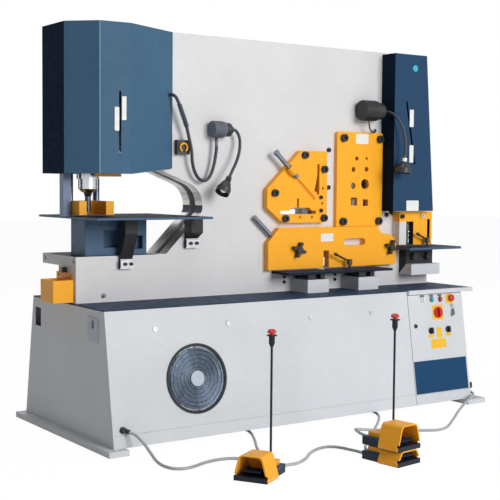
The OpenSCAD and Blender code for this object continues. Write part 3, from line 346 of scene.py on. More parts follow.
# Second finishes: solid, finish, and which faces take it, by their centre c and normal n
FACE_FINISH = [
    ("jaw_plate", "slate_paint", lambda c, n: n.z > 0.9),
    # Throat edges of the frame: pale steel as painted light where they face away from the lamps
    ("main_frame", "painted_light_steel",
     lambda c, n: abs(n.y) < 0.5 and -0.966 < c.x < -0.4 and 0.93 < c.z < 1.52),
    ("main_frame", "throat_paint",
     lambda c, n: abs(n.y) < 0.5 and -0.966 < c.x < -0.4 and (
         1.1 < c.z < 1.2 or 0.93 < c.z < 1.2 and abs(c.y - FRAME_MIDDLE_Y) < 0.031)),
    ("base_cabinet", "plate_grey", lambda c, n: c.x < -1.2255 and c.z > 0.52 and c.y < -0.2),
    ("panel_fittings", "wire_steel", lambda c, n: c.z > 0.4),
    ("stripper", "column_steel", lambda c, n: c.z > STRIPPER_TOP + FACE_SLACK or c.x < -1.195),
    ("punch_table", "throat_paint", lambda c, n: abs(n.z) < 0.5),
    ("notch_table", "throat_paint", lambda c, n: abs(n.z) < 0.5),
    ("guard_bolts", "bright_steel", lambda c, n: c.x > 1.1),
    ("punch_cylinder", "guard_paint", lambda c, n: c.y < -0.096 and c.x > -1.115),
    ("table_straps", "bright_steel", lambda c, n: -0.1175 < c.y < -0.1045 and n.y < -0.9),
    ("station_brackets", "black_paint_and_shade", lambda c, n: c.z > 0.777 and c.x < 0.9 or c.z > 0.835),
    ("notch_guard", "tool_steel", lambda c, n: c.y > FRAME_FACE_Y + FACE_SLACK),
    # Walls of the recess and slot in the notcher's guard: black as painted shade inside them
    ("notch_guard", "black_paint_and_shade", lambda c, n: in_notch_recess(c)),
    # Groove in the angle guard: darker orange as painted shade
    ("angle_guard", "painted_groove_shade",
     lambda c, n: n.y < -0.9 and 0.003 < c.y - GUARD_FACE_Y < 0.009),
    ("work_lamps", "legend_grey", lambda c, n: -0.42 < c.x < -0.337 and c.z > 1.57),
    ("slug_bin", "black_plastic", lambda c, n: c.z > 0.8565),
    ("slug_bin", "red_plastic", lambda c, n: c.z > 0.8565 and n.x < -0.5),
    ("fan_guard", "navy_paint",
     lambda c, n: c.y > front_y(c.z) + 0.0045 or out_of_fan(c) > 0.160),
    ("pedal_bases", "navy_paint",
     lambda c, n: c.z > 0.13 or c.z < PEDAL_FLOOR or 0.071 < c.z < 0.0951),
    # Left sides of both covers: darker navy, partly their own paint and partly painted shade
    ("punch_cover", "navy_and_painted_shade", lambda c, n: n.x < -0.99),
    ("shear_cover", "navy_and_painted_shade", lambda c, n: n.x < -0.9),
    ("cabinet_door", "plate_blue_paint", lambda c, n: c.z < 0.29 and in_front(c)),
    ("cabinet_door", "label_yellow", lambda c, n: c.x > 1.09 and c.z > 0.6 and in_front(c)),
    ("cabinet_door", "black_plastic",
     lambda c, n: 0.94 < c.x < 1.06 and c.z > 0.61 and in_front(c)),
    ("cabinet_door", "black_paint_and_shade", lambda c, n: c.x < 0.85 and c.z > 0.45 and in_front(c)),
]


def finish_solids():
    """Gives every shown solid its finish, and single faces a second one."""
    for node, finish in NODE_FINISH.items():
        mesh = NODES[node].data
        mesh.materials.clear()
        mesh.materials.append(FINISHES[finish])
        for face in mesh.polygons:
            face.material_index = 0
    for node, finish, wanted in FACE_FINISH:
        mesh = NODES[node].data
        mesh.materials.append(FINISHES[finish])
        index = len(mesh.materials) - 1
        for face in mesh.polygons:
            if wanted(face.center, face.normal):
                face.material_index = index


# Edge radius of the solids with folded or sawn edges
SOLID_EDGES = {
    "main_frame": 0.003, "jaw_plate": 0.003, "die_block": 0.003, "stripper": 0.003,
    "section_plate": 0.003, "flat_guard": 0.003, "angle_guard": 0.003, "punch_cover": 0.002,
    "shear_cover": 0.002, "base_cabinet": 0.0015, "front_panel": 0.001, "cabinet_door": 0.001,
    "worktop": 0.0015, "slug_bin": 0.0015, "punch_table": 0.002, "notch_table": 0.002,
    "flat_table": 0.002, "pedal_shrouds": 0.002, "pedal_bases": 0.002, "station_brackets": 0.0015,
    "table_straps": 0.0015,
}
EDGE_STEPS = 2
EDGE_ANGLE = math.radians(28)
WELD_DISTANCE = 0.00002


def soften_edges():
    """Small radius along the sharp edges of the solids, as a modifier."""
    for node, width in SOLID_EDGES.items():
        solid = NODES[node]
        weld = solid.modifiers.new("join_faces", "WELD")
        weld.merge_threshold = WELD_DISTANCE
        edge = solid.modifiers.new("edge_radius", "BEVEL")
        edge.width = width
        edge.segments = EDGE_STEPS
        edge.limit_method = "ANGLE"
        edge.angle_limit = EDGE_ANGLE
        edge.harden_normals = True


# Smoothing angle of rings and conduits in degrees, points round a plate's corner, points in
# one turn of a coil, and sides of its wire and of a thicker rod
WIRE_SMOOTH = 80
CORNER_STEPS = 5
COIL_STEPS = 14
COIL_SIDES = 8
ROD_SIDES = 12


def add_piece(name, mesh_builder, finish, body, place=None, smooth=35):
    """New piece from a mesh, riding on a body."""
    mesh = bpy.data.meshes.new(name)
    mesh_builder.normal_update()
    mesh_builder.to_mesh(mesh)
    mesh_builder.free()
    for face in mesh.polygons:
        face.use_smooth = True
    mesh.set_sharp_from_angle(angle=math.radians(smooth))
    piece = bpy.data.objects.new(name, mesh)
    bpy.context.scene.collection.objects.link(piece)
    mesh.materials.append(FINISHES[finish])
    if place is not None:
        piece.matrix_world = place
    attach(piece, body)
    return piece


def add_loop(mesh_builder, points):
    """Closed ring of new vertices."""
    return [mesh_builder.verts.new(point) for point in points]


def bridge(mesh_builder, first, second):
    """Faces between two rings of the same count."""
    count = len(first)
    for i in range(count):
        j = (i + 1) % count
        mesh_builder.faces.new((first[i], first[j], second[j], second[i]))


def turned(profile, sides=48, is_ring=False):
    """Turned form from radius and height pairs, about local Z; a ring stays open in the middle."""
    mesh_builder = bmesh.new()
    rings = []
    for radius, height in profile:
        angles = [2 * math.pi * i / sides for i in range(sides)]
        rings.append(add_loop(mesh_builder, [
            (radius * math.cos(a), radius * math.sin(a), height) for a in angles]))
    for first, second in zip(rings, rings[1:]):
        bridge(mesh_builder, first, second)
    if is_ring:
        bridge(mesh_builder, rings[-1], rings[0])
    else:
        mesh_builder.faces.new(reversed(rings[0]))
        mesh_builder.faces.new(rings[-1])
    bmesh.ops.recalc_face_normals(mesh_builder, faces=mesh_builder.faces)
    return mesh_builder


def rounded_outline(width, height, radius):
    """Corner points of a rounded rectangle around the origin."""
    points = []
    for quarter, (sx, sy) in enumerate(((1, 1), (-1, 1), (-1, -1), (1, -1))):
        centre = Vector((sx * (width / 2 - radius), sy * (height / 2 - radius)))
        for i in range(CORNER_STEPS + 1):
            angle = QUARTER_TURN * (quarter + i / CORNER_STEPS)
            points.append(centre + radius * Vector((math.cos(angle), math.sin(angle))))
    return points


def raised_plate(width, height, thickness, radius, edge):
    """Thin plate with rounded corners and a softened front edge."""
    mesh_builder = bmesh.new()
    outline = rounded_outline(width, height, radius)
    shrink = Vector((1 - 2 * edge / width, 1 - 2 * edge / height))
    levels = [(Vector((1, 1)), 0.0), (Vector((1, 1)), thickness - edge), (shrink, thickness)]
    rings = [add_loop(mesh_builder, [(p.x * s.x, p.y * s.y, z) for p in outline])
             for s, z in levels]
    for first, second in zip(rings, rings[1:]):
        bridge(mesh_builder, first, second)
    mesh_builder.faces.new(reversed(rings[0]))
    mesh_builder.faces.new(rings[-1])
    return mesh_builder


def smooth_route(points, steps):
    """Smooth line through listed points."""
    points = [Vector(p) for p in points]
    padded = [2 * points[0] - points[1], *points, 2 * points[-1] - points[-2]]
    line = []
    for before, start, end, after in zip(padded, padded[1:], padded[2:], padded[3:]):
        for i in range(steps):
            t = i / steps
            line.append(0.5 * (2 * start + (end - before) * t
                               + (2 * before - 5 * start + 4 * end - after) * t * t
                               + (3 * start - before - 3 * end + after) * t ** 3))
    line.append(points[-1])
    return line


def even_route(line, spacing):
    """The same line with points at even distances."""
    travelled = [0.0]
    for first, second in zip(line, line[1:]):
        travelled.append(travelled[-1] + (second - first).length)
    count = max(2, round(travelled[-1] / spacing))
    result = []
    segment = 0
    for i in range(count + 1):
        wanted = travelled[-1] * i / count
        while segment < len(line) - 2 and travelled[segment + 1] < wanted:
            segment += 1
        span = travelled[segment + 1] - travelled[segment]
        result.append(line[segment].lerp(line[segment + 1], (wanted - travelled[segment]) / span))
    return result


def swept(line, radii, sides=16):
    """Tube along a line with its own radius at every point."""
    mesh_builder = bmesh.new()
    normal = None
    rings = []
    for i, point in enumerate(line):
        tangent = (line[min(i + 1, len(line) - 1)] - line[max(i - 1, 0)]).normalized()
        if normal is None:
            normal = tangent.orthogonal().normalized()
        normal = (normal - normal.dot(tangent) * tangent).normalized()
        side = tangent.cross(normal)
        angles = [2 * math.pi * k / sides for k in range(sides)]
        rings.append(add_loop(mesh_builder, [
            point + radii[i] * (math.cos(a) * normal + math.sin(a) * side) for a in angles]))
    for first, second in zip(rings, rings[1:]):
        bridge(mesh_builder, first, second)
    mesh_builder.faces.new(reversed(rings[0]))
    mesh_builder.faces.new(rings[-1])
    bmesh.ops.recalc_face_normals(mesh_builder, faces=mesh_builder.faces)
    return mesh_builder


def winding(start, end, radius, turns):
    """Points of a coil round the line between two places."""
    steps = turns * COIL_STEPS
    axis = (end - start).normalized()
    side = axis.orthogonal().normalized()
    other = axis.cross(side)
    points = []
    for i in range(steps + 1):
        angle = 2 * math.pi * turns * i / steps
        outwards = math.cos(angle) * side + math.sin(angle) * other
        points.append(start.lerp(end, i / steps) + radius * outwards)
    return points


def add_ring(mesh_builder, radius, wire, height, sides=64, wire_sides=8):
    """Wire ring about local Z at a height."""
    loops = []
    for i in range(sides):
        turn = 2 * math.pi * i / sides
        around = [2 * math.pi * k / wire_sides for k in range(wire_sides)]
        loops.append(add_loop(mesh_builder, [
            ((radius + wire * math.cos(a)) * math.cos(turn),
             (radius + wire * math.cos(a)) * math.sin(turn),
             height + wire * math.sin(a)) for a in around]))
    for first, second in zip(loops, loops[1:] + loops[:1]):
        bridge(mesh_builder, first, second)
    bmesh.ops.recalc_face_normals(mesh_builder, faces=mesh_builder.faces)


def into_tail(pedal, across, height=HOSE_LIFT):
    """Last stretch of a hose, square to the end of a pedal's tail."""
    return [pedal_point(pedal, PEDAL_LENGTH + TAIL_RUN, across, height),
            pedal_point(pedal, PEDAL_LENGTH, across, height)]


def out_of_tail(pedal, across, height=HOSE_LIFT):
    """First stretch of a hose that leaves a pedal's tail."""
    return into_tail(pedal, across, height)[::-1]


# Hoses: the solid that each stands for, and its route
HOSES = {
    "hose_left": ("hose_left", [
        (-1.148, -0.545, 0.110), (-1.130, -0.575, 0.100), (-1.112, -0.620, 0.070),
        (-1.108, -0.680, 0.035), (-1.115, -0.740, 0.014), (-1.125, -0.800, 0.008),
        (-1.130, -0.860, 0.008), (-1.115, -0.915, 0.008), (-1.070, -0.940, 0.008),
        (-1.010, -0.930, 0.008), (-0.950, -0.905, 0.008), (-0.890, -0.890, 0.008),
        (-0.835, -0.888, 0.008), (-0.790, -0.900, 0.008), (-0.754, -0.930, 0.008),
        (-0.728, -0.975, 0.008), (-0.706, -1.030, 0.009), (-0.702, -1.070, 0.011)]
        + into_tail(LEFT_PEDAL, 0.040)),
    "hose_link": ("hose_link", out_of_tail(LEFT_PEDAL, -0.040) + [
        (-0.640, -1.153, 0.010), (-0.600, -1.148, 0.008), (-0.560, -1.140, 0.008),
        (-0.515, -1.118, 0.008), (-0.470, -1.085, 0.008), (-0.420, -1.040, 0.008),
        (-0.365, -1.000, 0.008), (-0.310, -0.975, 0.008), (-0.262, -0.967, 0.008),
        (-0.225, -0.983, 0.008), (-0.202, -1.025, 0.008), (-0.194, -1.080, 0.009),
        (-0.191, -1.128, 0.011)] + into_tail(LOWER_PEDAL, 0.022)),
    "hose_right": ("hose_right", out_of_tail(UPPER_PEDAL, -0.005, 0.020) + [
        (-0.162, -1.115, 0.096), (-0.138, -1.060, 0.096), (-0.100, -1.010, 0.087),
        (-0.040, -0.965, 0.071), (0.040, -0.925, 0.052), (0.130, -0.895, 0.033),
        (0.220, -0.882, 0.017), (0.310, -0.895, 0.009), (0.380, -0.930, 0.008),
        (0.440, -0.970, 0.008), (0.500, -0.992, 0.008), (0.570, -0.976, 0.008),
        (0.655, -0.922, 0.008), (0.750, -0.850, 0.008), (0.845, -0.778, 0.008),
        (0.940, -0.704, 0.008), (1.020, -0.648, 0.011), (1.090, -0.608, 0.022),
        (1.150, -0.580, 0.038), (1.184, -0.562, 0.043), (1.225, -0.545, 0.050),
        (1.239, -0.532, 0.056), (1.242, -0.515, 0.060), (1.242, -0.499, 0.064),
        (1.242, -0.489, 0.071), (1.242, -0.486, 0.081)]),
    "hose_back_left": ("floor_hoses", [
        (-0.390, RAIL_Y, HOSE_LIFT), (-0.390, RAIL_Y - 0.04, HOSE_LIFT), (-0.402, -0.510, 0.010),
        (-0.430, -0.570, 0.008), (-0.480, -0.660, 0.008), (-0.535, -0.750, 0.008),
        (-0.585, -0.840, 0.008), (-0.622, -0.930, 0.008), (-0.645, -1.010, 0.009),
        (-0.664, -1.075, 0.011)]
        + into_tail(LEFT_PEDAL, 0.005)),
    "hose_back_right": ("floor_hoses", [
        (0.500, RAIL_Y, HOSE_LIFT), (0.500, RAIL_Y - 0.04, HOSE_LIFT), (0.484, -0.510, 0.010),
        (0.445, -0.570, 0.008), (0.370, -0.650, 0.008), (0.270, -0.745, 0.008),
        (0.160, -0.845, 0.008), (0.050, -0.945, 0.008), (-0.050, -1.035, 0.008),
        (-0.112, -1.100, 0.010)]
        + into_tail(LOWER_PEDAL, -0.026)),
}
HOSE_STEPS = 6


def add_hose(name, node, points, diameter):
    """Round hose along its route."""
    line = smooth_route(points, HOSE_STEPS)
    curve = bpy.data.curves.new(name, "CURVE")
    curve.dimensions = "3D"
    curve.bevel_depth = diameter / 2
    curve.bevel_resolution = 4
    curve.use_fill_caps = True
    spline = curve.splines.new("POLY")
    spline.points.add(len(line) - 1)
    for target, point in zip(spline.points, line):
        target.co = (*point, 1.0)
    curve.materials.append(FINISHES["hose_rubber"])
    hose = bpy.data.objects.new(name, curve)
    bpy.context.scene.collection.objects.link(hose)
    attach(hose, "machine")
    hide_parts(node)


# Lamp conduits: radius and route
CONDUITS = {
    "left_lamp_neck": (0.009, [
        (-0.282, -0.130, 1.624), (-0.262, -0.130, 1.624), (-0.245, -0.132, 1.608),
        (-0.236, -0.137, 1.578), (-0.238, -0.145, 1.545), (-0.250, -0.155, 1.500),
        (-0.275, -0.167, 1.450), (-0.310, -0.180, 1.400), (-0.336, -0.188, 1.362)]),
    "left_lamp_feed": (0.0095, [
        (-0.670, -0.1007, 1.800), (-0.6603, -0.1205, 1.800), (-0.648, -0.139, 1.784),
        (-0.634, -0.146, 1.750), (-0.606, -0.146, 1.690), (-0.584, -0.142, 1.630),
        (-0.563, -0.138, 1.560), (-0.548, -0.136, 1.500), (-0.540, -0.132, 1.440),
        (-0.522, -0.127, 1.390), (-0.492, -0.124, 1.352), (-0.458, -0.124, 1.342),
        (-0.430, -0.126, 1.358), (-0.408, -0.128, 1.400), (-0.394, -0.130, 1.455),
        (-0.384, -0.130, 1.520), (-0.384, -0.130, 1.580)]),
    "right_lamp_neck": (0.009, [
        (0.812, -0.150, 1.772), (0.830, -0.150, 1.772), (0.841, -0.175, 1.768),
        (0.844, -0.210, 1.754), (0.856, -0.240, 1.722), (0.872, -0.257, 1.680),
        (0.886, -0.265, 1.625), (0.892, -0.268, 1.570), (0.890, -0.268, 1.520),
        (0.886, -0.268, 1.490)]),
    "right_lamp_lead": (0.005, [
        (0.700, -0.150, 1.712), (0.700, -0.150, 1.694), (0.712, -0.144, 1.666),
        (0.740, -0.132, 1.648), (0.772, -0.118, 1.646), (0.792, -0.106, 1.656),
        (0.798, -0.098, 1.662), (0.798, FRAME_FACE_Y, 1.662)]),
}
RIDGE_PITCH = 0.0032
RIDGE_DEPTH = 0.0012
CONDUIT_STEPS = 8
CONDUIT_SIDES = 14


def add_conduit(name, radius, points):
    """Flexible conduit with its wound ridges."""
    line = even_route(smooth_route(points, CONDUIT_STEPS), RIDGE_PITCH)
    radii = [radius - RIDGE_DEPTH * (i % 2) for i in range(len(line))]
    piece = add_piece(name, swept(line, radii, CONDUIT_SIDES), "conduit_plastic", "machine",
                      smooth=WIRE_SMOOTH)
    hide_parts("lamp_conduits")


# Plates on the door: place, size, finish
DOOR_PLATES = {
    "main_switch_plate": (1.011, 0.560, 0.088, 0.088, "label_yellow"),
    "left_selector_plate": (0.942, 0.424, 0.050, 0.016, "label_yellow"),
    "right_selector_plate": (1.083, 0.424, 0.050, 0.016, "label_yellow"),
    "upper_blank_plate": (1.010, 0.440, 0.044, 0.060, "label_yellow"),
    "lower_blank_plate": (0.997, 0.376, 0.122, 0.056, "label_yellow"),
    "mode_tag": (0.894, 0.662, 0.034, 0.012, "legend_grey"),
    "start_tag": (0.969, 0.662, 0.034, 0.012, "legend_grey"),
    "stop_tag": (1.038, 0.662, 0.034, 0.012, "legend_grey"),
    "stop_backplate": (1.117, 0.637, 0.060, 0.056, "label_yellow"),
}
PLATE_THICKNESS = 0.0012
PLATE_CORNER = 0.004
PLATE_CORNER_SHARE = 0.3
PLATE_EDGE = 0.0003


def add_door_plates():
    """Bare plates behind and beside the controls."""
    for name, (x, z, width, height, finish) in DOOR_PLATES.items():
        corner = min(PLATE_CORNER, height * PLATE_CORNER_SHARE)
        plate = raised_plate(width, height, PLATE_THICKNESS, corner, PLATE_EDGE)
        add_piece(name, plate, finish, "door", on_front(x, z, SKIN))


# Turned parts of the controls: places on the door, and radius and height of each edge
BUTTON_RINGS = {"start_ring": (0.969, 0.639), "stop_ring": (1.038, 0.638)}
RING_PROFILE = [(0.0162, 0.0), (0.0185, 0.0), (0.0185, 0.0045), (0.0175, 0.0058), (0.0162, 0.0058)]
RING_SIDES = 40
MAIN_SWITCH_PLACE = (1.011, 0.560)
DIAL_PROFILE = [(0.0245, 0.0022), (0.0325, 0.0022), (0.0335, 0.0035), (0.0335, 0.0105),
                (0.0320, 0.0125), (0.0245, 0.0125)]
KEY_PLACE = (1.130, 0.596)
BARREL_PROFILE = [(0.0105, 0.0), (0.0105, 0.005), (0.0095, 0.006), (0.0070, 0.006),
                  (0.0065, 0.010), (0.0030, 0.010)]
SMALL_SIDES = 32

# Keys and their ring: lean in degrees and length, and places from the lock
KEYS = {"key_left": (-14, 0.046), "key_right": (9, 0.038)}
KEY_HANG = (0.004, -0.021, 0.0095)
KEY_WIDTH = 0.011
KEY_THICKNESS = 0.0020
KEY_CORNER = 0.004
KEY_EDGE = 0.0004
KEY_RING = 0.013
KEY_RING_WIRE = 0.0011
KEY_RING_HANG = (0.004, -0.008, 0.0105)
KEY_RING_LEAN = math.radians(22)


def add_button_rings():
    """Bright rings round the two push buttons."""
    for name, (x, z) in BUTTON_RINGS.items():
        ring = turned(RING_PROFILE, RING_SIDES, is_ring=True)
        add_piece(name, ring, "wire_steel", "door", on_front(x, z, SKIN))


def add_main_dial():
    """Round red dial under the grip of the main switch."""
    add_piece("main_switch_dial", turned(DIAL_PROFILE), "red_plastic", "main_knob",
              on_front(*MAIN_SWITCH_PLACE))


def add_keys():
    """Lock barrel with a ring of two keys."""
    barrel = turned(BARREL_PROFILE, SMALL_SIDES)
    add_piece("key_lock", barrel, "wire_steel", "door", on_front(*KEY_PLACE, SKIN))
    bow = bmesh.new()
    add_ring(bow, KEY_RING, KEY_RING_WIRE, 0.0)
    spread = Matrix.Translation(KEY_RING_HANG) @ Matrix.Rotation(KEY_RING_LEAN, 4, "Y")
    add_piece("key_ring", bow, "wire_steel", "door", on_front(*KEY_PLACE) @ spread)
    for name, (lean, reach) in KEYS.items():
        key = raised_plate(KEY_WIDTH, reach, KEY_THICKNESS, KEY_CORNER, KEY_EDGE)
        hang = (Matrix.Translation(KEY_HANG) @ Matrix.Rotation(math.radians(lean), 4, "Z")
                @ Matrix.Translation((0, -reach / 2, 0)))
        add_piece(name, key, "legend_grey", "door", on_front(*KEY_PLACE) @ hang)


# Wire rings of the fan guard between its main rings, the inlet behind them, and the hub disc
FAN_WIRE = 0.0011
FAN_WIRE_HEIGHT = 0.007
FAN_FIRST_RING = 0.0475
FAN_RING_STEP = 0.0055
FAN_RING_COUNT = 21
FAN_RING_SIDES = 72
FAN_WIRE_SIDES = 6
FAN_INLET = [(0.1640, -0.004), (0.1635, -0.002), (0.1610, -0.002), (0.1500, -0.016),
             (0.1420, -0.034), (0.1400, -0.052), (0.1412, -0.052), (0.1432, -0.034),
             (0.1512, -0.017), (0.1620, -0.004)]
FAN_HUB = [(0.040, 0.0092), (0.0395, 0.0100), (0.030, 0.0105), (0.028, 0.0112), (0.012, 0.0112),
           (0.010, 0.0104), (0.004, 0.0104)]


def add_fan_wires():
    """Fine rings, inlet and hub disc of the fan guard."""
    place = on_front(*FAN_PLACE)
    wires = bmesh.new()
    for i in range(FAN_RING_COUNT):
        radius = FAN_FIRST_RING + FAN_RING_STEP * i
        add_ring(wires, radius, FAN_WIRE, FAN_WIRE_HEIGHT, FAN_RING_SIDES, FAN_WIRE_SIDES)
    add_piece("fan_wires", wires, "fan_steel", "machine", place, WIRE_SMOOTH)
    inlet = turned(FAN_INLET, is_ring=True)
    add_piece("fan_inlet", inlet, "bright_steel", "machine", place)
    add_piece("fan_hub_disc", turned(FAN_HUB), "plate_grey", "machine", place)


# Blank plates on the upright faces: depth of the face, centre and size
SHEAR_COVER_PLATES = {
    "shear_scale_upper": (SHEAR_COVER_FACE_Y, 0.996, 1.736, 0.033, 0.106),
    "shear_scale_lower": (SHEAR_COVER_FACE_Y, 0.998, 1.518, 0.033, 0.106),
    "shear_blank_plate": (SHEAR_COVER_FACE_Y, 1.015, 1.199, 0.102, 0.064),
}
GUARD_PLATES = {
    "section_blank_plate": (SECTION_FACE_Y, 0.680, 1.603, 0.097, 0.060),
    "flat_blank_plate": (GUARD_FACE_Y, 0.404, 1.012, 0.094, 0.048),
}
BLANK_THICKNESS = 0.001
BLANK_CORNER = 0.003
SPOT_PROFILE = [(0.020, 0.0), (0.020, 0.0008), (0.0192, 0.0012)]
SPOT_PLACE = (1.021, SHEAR_COVER_FACE_Y - SKIN, 2.042)

# Front of the punch cover from its fold to its right edge, the painted highlight along the fold,
# and the strips
PUNCH_FACE_X = (-1.156, -0.985)
PUNCH_FACE_Y = (-0.245, -0.255)
FOLD_TAPER = 0.003
FOLD_HEIGHTS = (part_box("punch_cover")[0].z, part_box("punch_cover")[0].z + FOLD_TAPER,
                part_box("punch_cover")[1].z - FOLD_TAPER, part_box("punch_cover")[1].z)
FOLD_RADII = (0.0014, 0.0022, 0.0022, 0.0014)
FOLD_INSET = 0.0008
FOLD_SMOOTH = 60
PUNCH_COVER_MARKS = {
    "punch_scale_left": (-1.063, 1.650, 0.025, 0.120),
    "punch_scale_right": (-1.023, 1.705, 0.025, 0.120),
}


def add_blank(name, width, height, place):
    """Thin blank plate with rounded corners."""
    plate = raised_plate(width, height, BLANK_THICKNESS, BLANK_CORNER, PLATE_EDGE)
    add_piece(name, plate, "label_white", "machine", place)


def add_blank_plates(plates):
    """Blank scale strips and plates on upright faces."""
    for name, (y, x, z, width, height) in plates.items():
        add_blank(name, width, height, facing_front(x, y - SKIN, z))


def add_cover_marks():
    """Blank plates and coloured spot of one cover, painted highlight along the fold and blank
    strips of the other.
    """
    add_blank_plates(SHEAR_COVER_PLATES)
    add_piece("shear_cover_spot", turned(SPOT_PROFILE), "teal_plastic", "machine",
              facing_front(*SPOT_PLACE))
    # Thin pale bead along the fold: a painted highlight
    fold = [Vector((PUNCH_FACE_X[0], PUNCH_FACE_Y[0] + FOLD_INSET, z)) for z in FOLD_HEIGHTS]
    add_piece("punch_cover_fold_highlight", swept(fold, FOLD_RADII, ROD_SIDES), "fold_highlight_paint", "machine",
              smooth=FOLD_SMOOTH)
    turn = math.atan2(PUNCH_FACE_Y[1] - PUNCH_FACE_Y[0], PUNCH_FACE_X[1] - PUNCH_FACE_X[0])
    for name, (x, z, width, height) in PUNCH_COVER_MARKS.items():
        share = (x - PUNCH_FACE_X[0]) / (PUNCH_FACE_X[1] - PUNCH_FACE_X[0])
        y = PUNCH_FACE_Y[0] + share * (PUNCH_FACE_Y[1] - PUNCH_FACE_Y[0])
        place = Matrix.Translation((x, y - 2 * SKIN, z)) @ Matrix.Rotation(turn, 4, "Z")
        place = place @ Matrix.Rotation(QUARTER_TURN, 4, "X")
        add_blank(name, width, height, place)


# Lug on the frame and the closed end of a slot: left, right, low and high edge
FRAME_LUG = (-1.054, 0.736)
LUG_PROFILE = [(0.0125, 0.0), (0.0125, 0.007), (0.0110, 0.009), (0.0080, 0.009), (0.0070, 0.016),
               (0.0058, 0.0172)]
FLAT_SLOT_END = (-0.063, -0.010, 0.820, 0.928)
SLOT_END_CORNER = 0.003
COVER_PLATE = 0.0012
COVER_EDGE = 0.0004


def add_cover_plate(name, width, height, corner, place):
    """Light grey sheet in the paint of the frame."""
    plate = raised_plate(width, height, COVER_PLATE, corner, COVER_EDGE)
    add_piece(name, plate, "frame_paint", "machine", place)


def add_frame_parts():
    """Lug above the worktop, and the closed end of the slot beside the flat guard."""
    add_piece("frame_lug", turned(LUG_PROFILE, SMALL_SIDES), "screw_steel", "machine",
              facing_front(FRAME_LUG[0], FRAME_FACE_Y - SKIN, FRAME_LUG[1]))
    left, right, low, high = FLAT_SLOT_END
    add_cover_plate("flat_slot_end", right - left, high - low, SLOT_END_CORNER,
                    facing_front((left + right) / 2, FRAME_FACE_Y - SKIN, (low + high) / 2))


# Cheek of the notcher's guard, and the spring in its recess: foot, run, and its radius, turns
# and wire
NOTCH_CHEEK_RIGHT = NOTCH_OPENINGS[0][0]
NOTCH_CHEEK_LOW = 0.955
NOTCH_CHEEK_HIGH = 1.098
NOTCH_CHEEK_CORNER = 0.002
NOTCH_SPRING = Vector((1.060, -0.118, 0.957))
NOTCH_SPRING_RUN = Vector((0, 0, 0.138))
NOTCH_COIL = (0.010, 12, 0.0022)


def add_spring(name, finish, start, end, radius, turns, wire):
    """Coil spring between two places."""
    coil = winding(start, end, radius, turns)
    tube = swept(coil, [wire] * len(coil), COIL_SIDES)
    add_piece(name, tube, finish, "machine")


def add_notch_parts():
    """Light grey cheek beside the recess of the notcher's guard, and the return spring in it."""
    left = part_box("notch_guard")[0].x
    height = NOTCH_CHEEK_HIGH - NOTCH_CHEEK_LOW
    middle = (NOTCH_CHEEK_HIGH + NOTCH_CHEEK_LOW) / 2
    add_cover_plate("notch_cheek_front", NOTCH_CHEEK_RIGHT - left, height, NOTCH_CHEEK_CORNER,
                    facing_front((left + NOTCH_CHEEK_RIGHT) / 2, NOTCH_FACE_Y - SKIN, middle))
    side = Matrix.Rotation(-QUARTER_TURN, 4, "Z") @ Matrix.Rotation(QUARTER_TURN, 4, "X")
    side.translation = Vector((left - SKIN, (FRAME_FACE_Y + NOTCH_FACE_Y) / 2, middle))
    add_cover_plate("notch_cheek_side", FRAME_FACE_Y - NOTCH_FACE_Y, height, NOTCH_CHEEK_CORNER,
                    side)
    add_spring("notch_spring", "bright_steel", NOTCH_SPRING, NOTCH_SPRING + NOTCH_SPRING_RUN,
               *NOTCH_COIL)


# Skirts of the pedals: width, height, thickness, corner and edge of the strip, and its middle
# along the pedal and over the floor
SKIRT = (0.122, 0.020, 0.0024, 0.006, 0.0008)
SKIRT_ALONG = 0.064
SKIRT_HEIGHT = 0.0125


def add_pedal_skirts():
    """Lower edges of the pedal shrouds, outside the base plates."""
    for pedal_name, pedal in (("left", LEFT_PEDAL), ("lower", LOWER_PEDAL), ("upper", UPPER_PEDAL)):
        heading = pedal[1]
        for side_name, hand, turn in (("inner", -1, heading), ("outer", 1, heading + math.pi)):
            stand = Matrix.Rotation(turn, 4, "Z") @ Matrix.Rotation(QUARTER_TURN, 4, "X")
            across = hand * (PEDAL_HALF + SKIN)
            stand.translation = pedal_point(pedal, SKIRT_ALONG, across, SKIRT_HEIGHT)
            add_piece("%s_pedal_skirt_%s" % (pedal_name, side_name), raised_plate(*SKIRT),
                      "guard_paint", "machine", stand)


# Lamp heads: end of the neck, the way it points, radius and depth of the shade, and the
# finish of the collar
LAMP_HEADS = {
    "left_lamp": (Vector((-0.336, -0.188, 1.362)), Vector((-0.026, -0.008, -0.038)), 0.036, 0.094,
                  "black_plastic"),
    "right_lamp": (Vector((0.886, -0.268, 1.490)), Vector((-0.004, 0.0, -0.030)), 0.044, 0.080,
                   "bright_steel"),
}
COLLAR_PROFILE = [(0.0100, -0.001), (0.0150, 0.001), (0.0158, 0.004), (0.0158, 0.018),
                  (0.0175, 0.0225), (0.0145, 0.0235)]


def at_lamp_head(end, direction):
    """Place at the end of a lamp's neck, local Z along the beam."""
    aim = direction.normalized().to_track_quat("Z", "Y").to_matrix().to_4x4()
    return Matrix.Translation(end) @ aim


def add_lamp_bulbs():
    """Bulb of each lamp head."""
    for name, (end, direction, radius, depth, _) in LAMP_HEADS.items():
        bulb = turned([(0.006, 0.0465), (0.010, 0.050), (radius * 0.42, depth - 0.022),
                       (radius * 0.5, depth - 0.010), (radius * 0.44, depth),
                       (radius * 0.25, depth + 0.005), (0.002, depth + 0.0065)])
        add_piece(name + "_bulb", bulb, "lamp_glass", "machine",
                  at_lamp_head(end, direction))


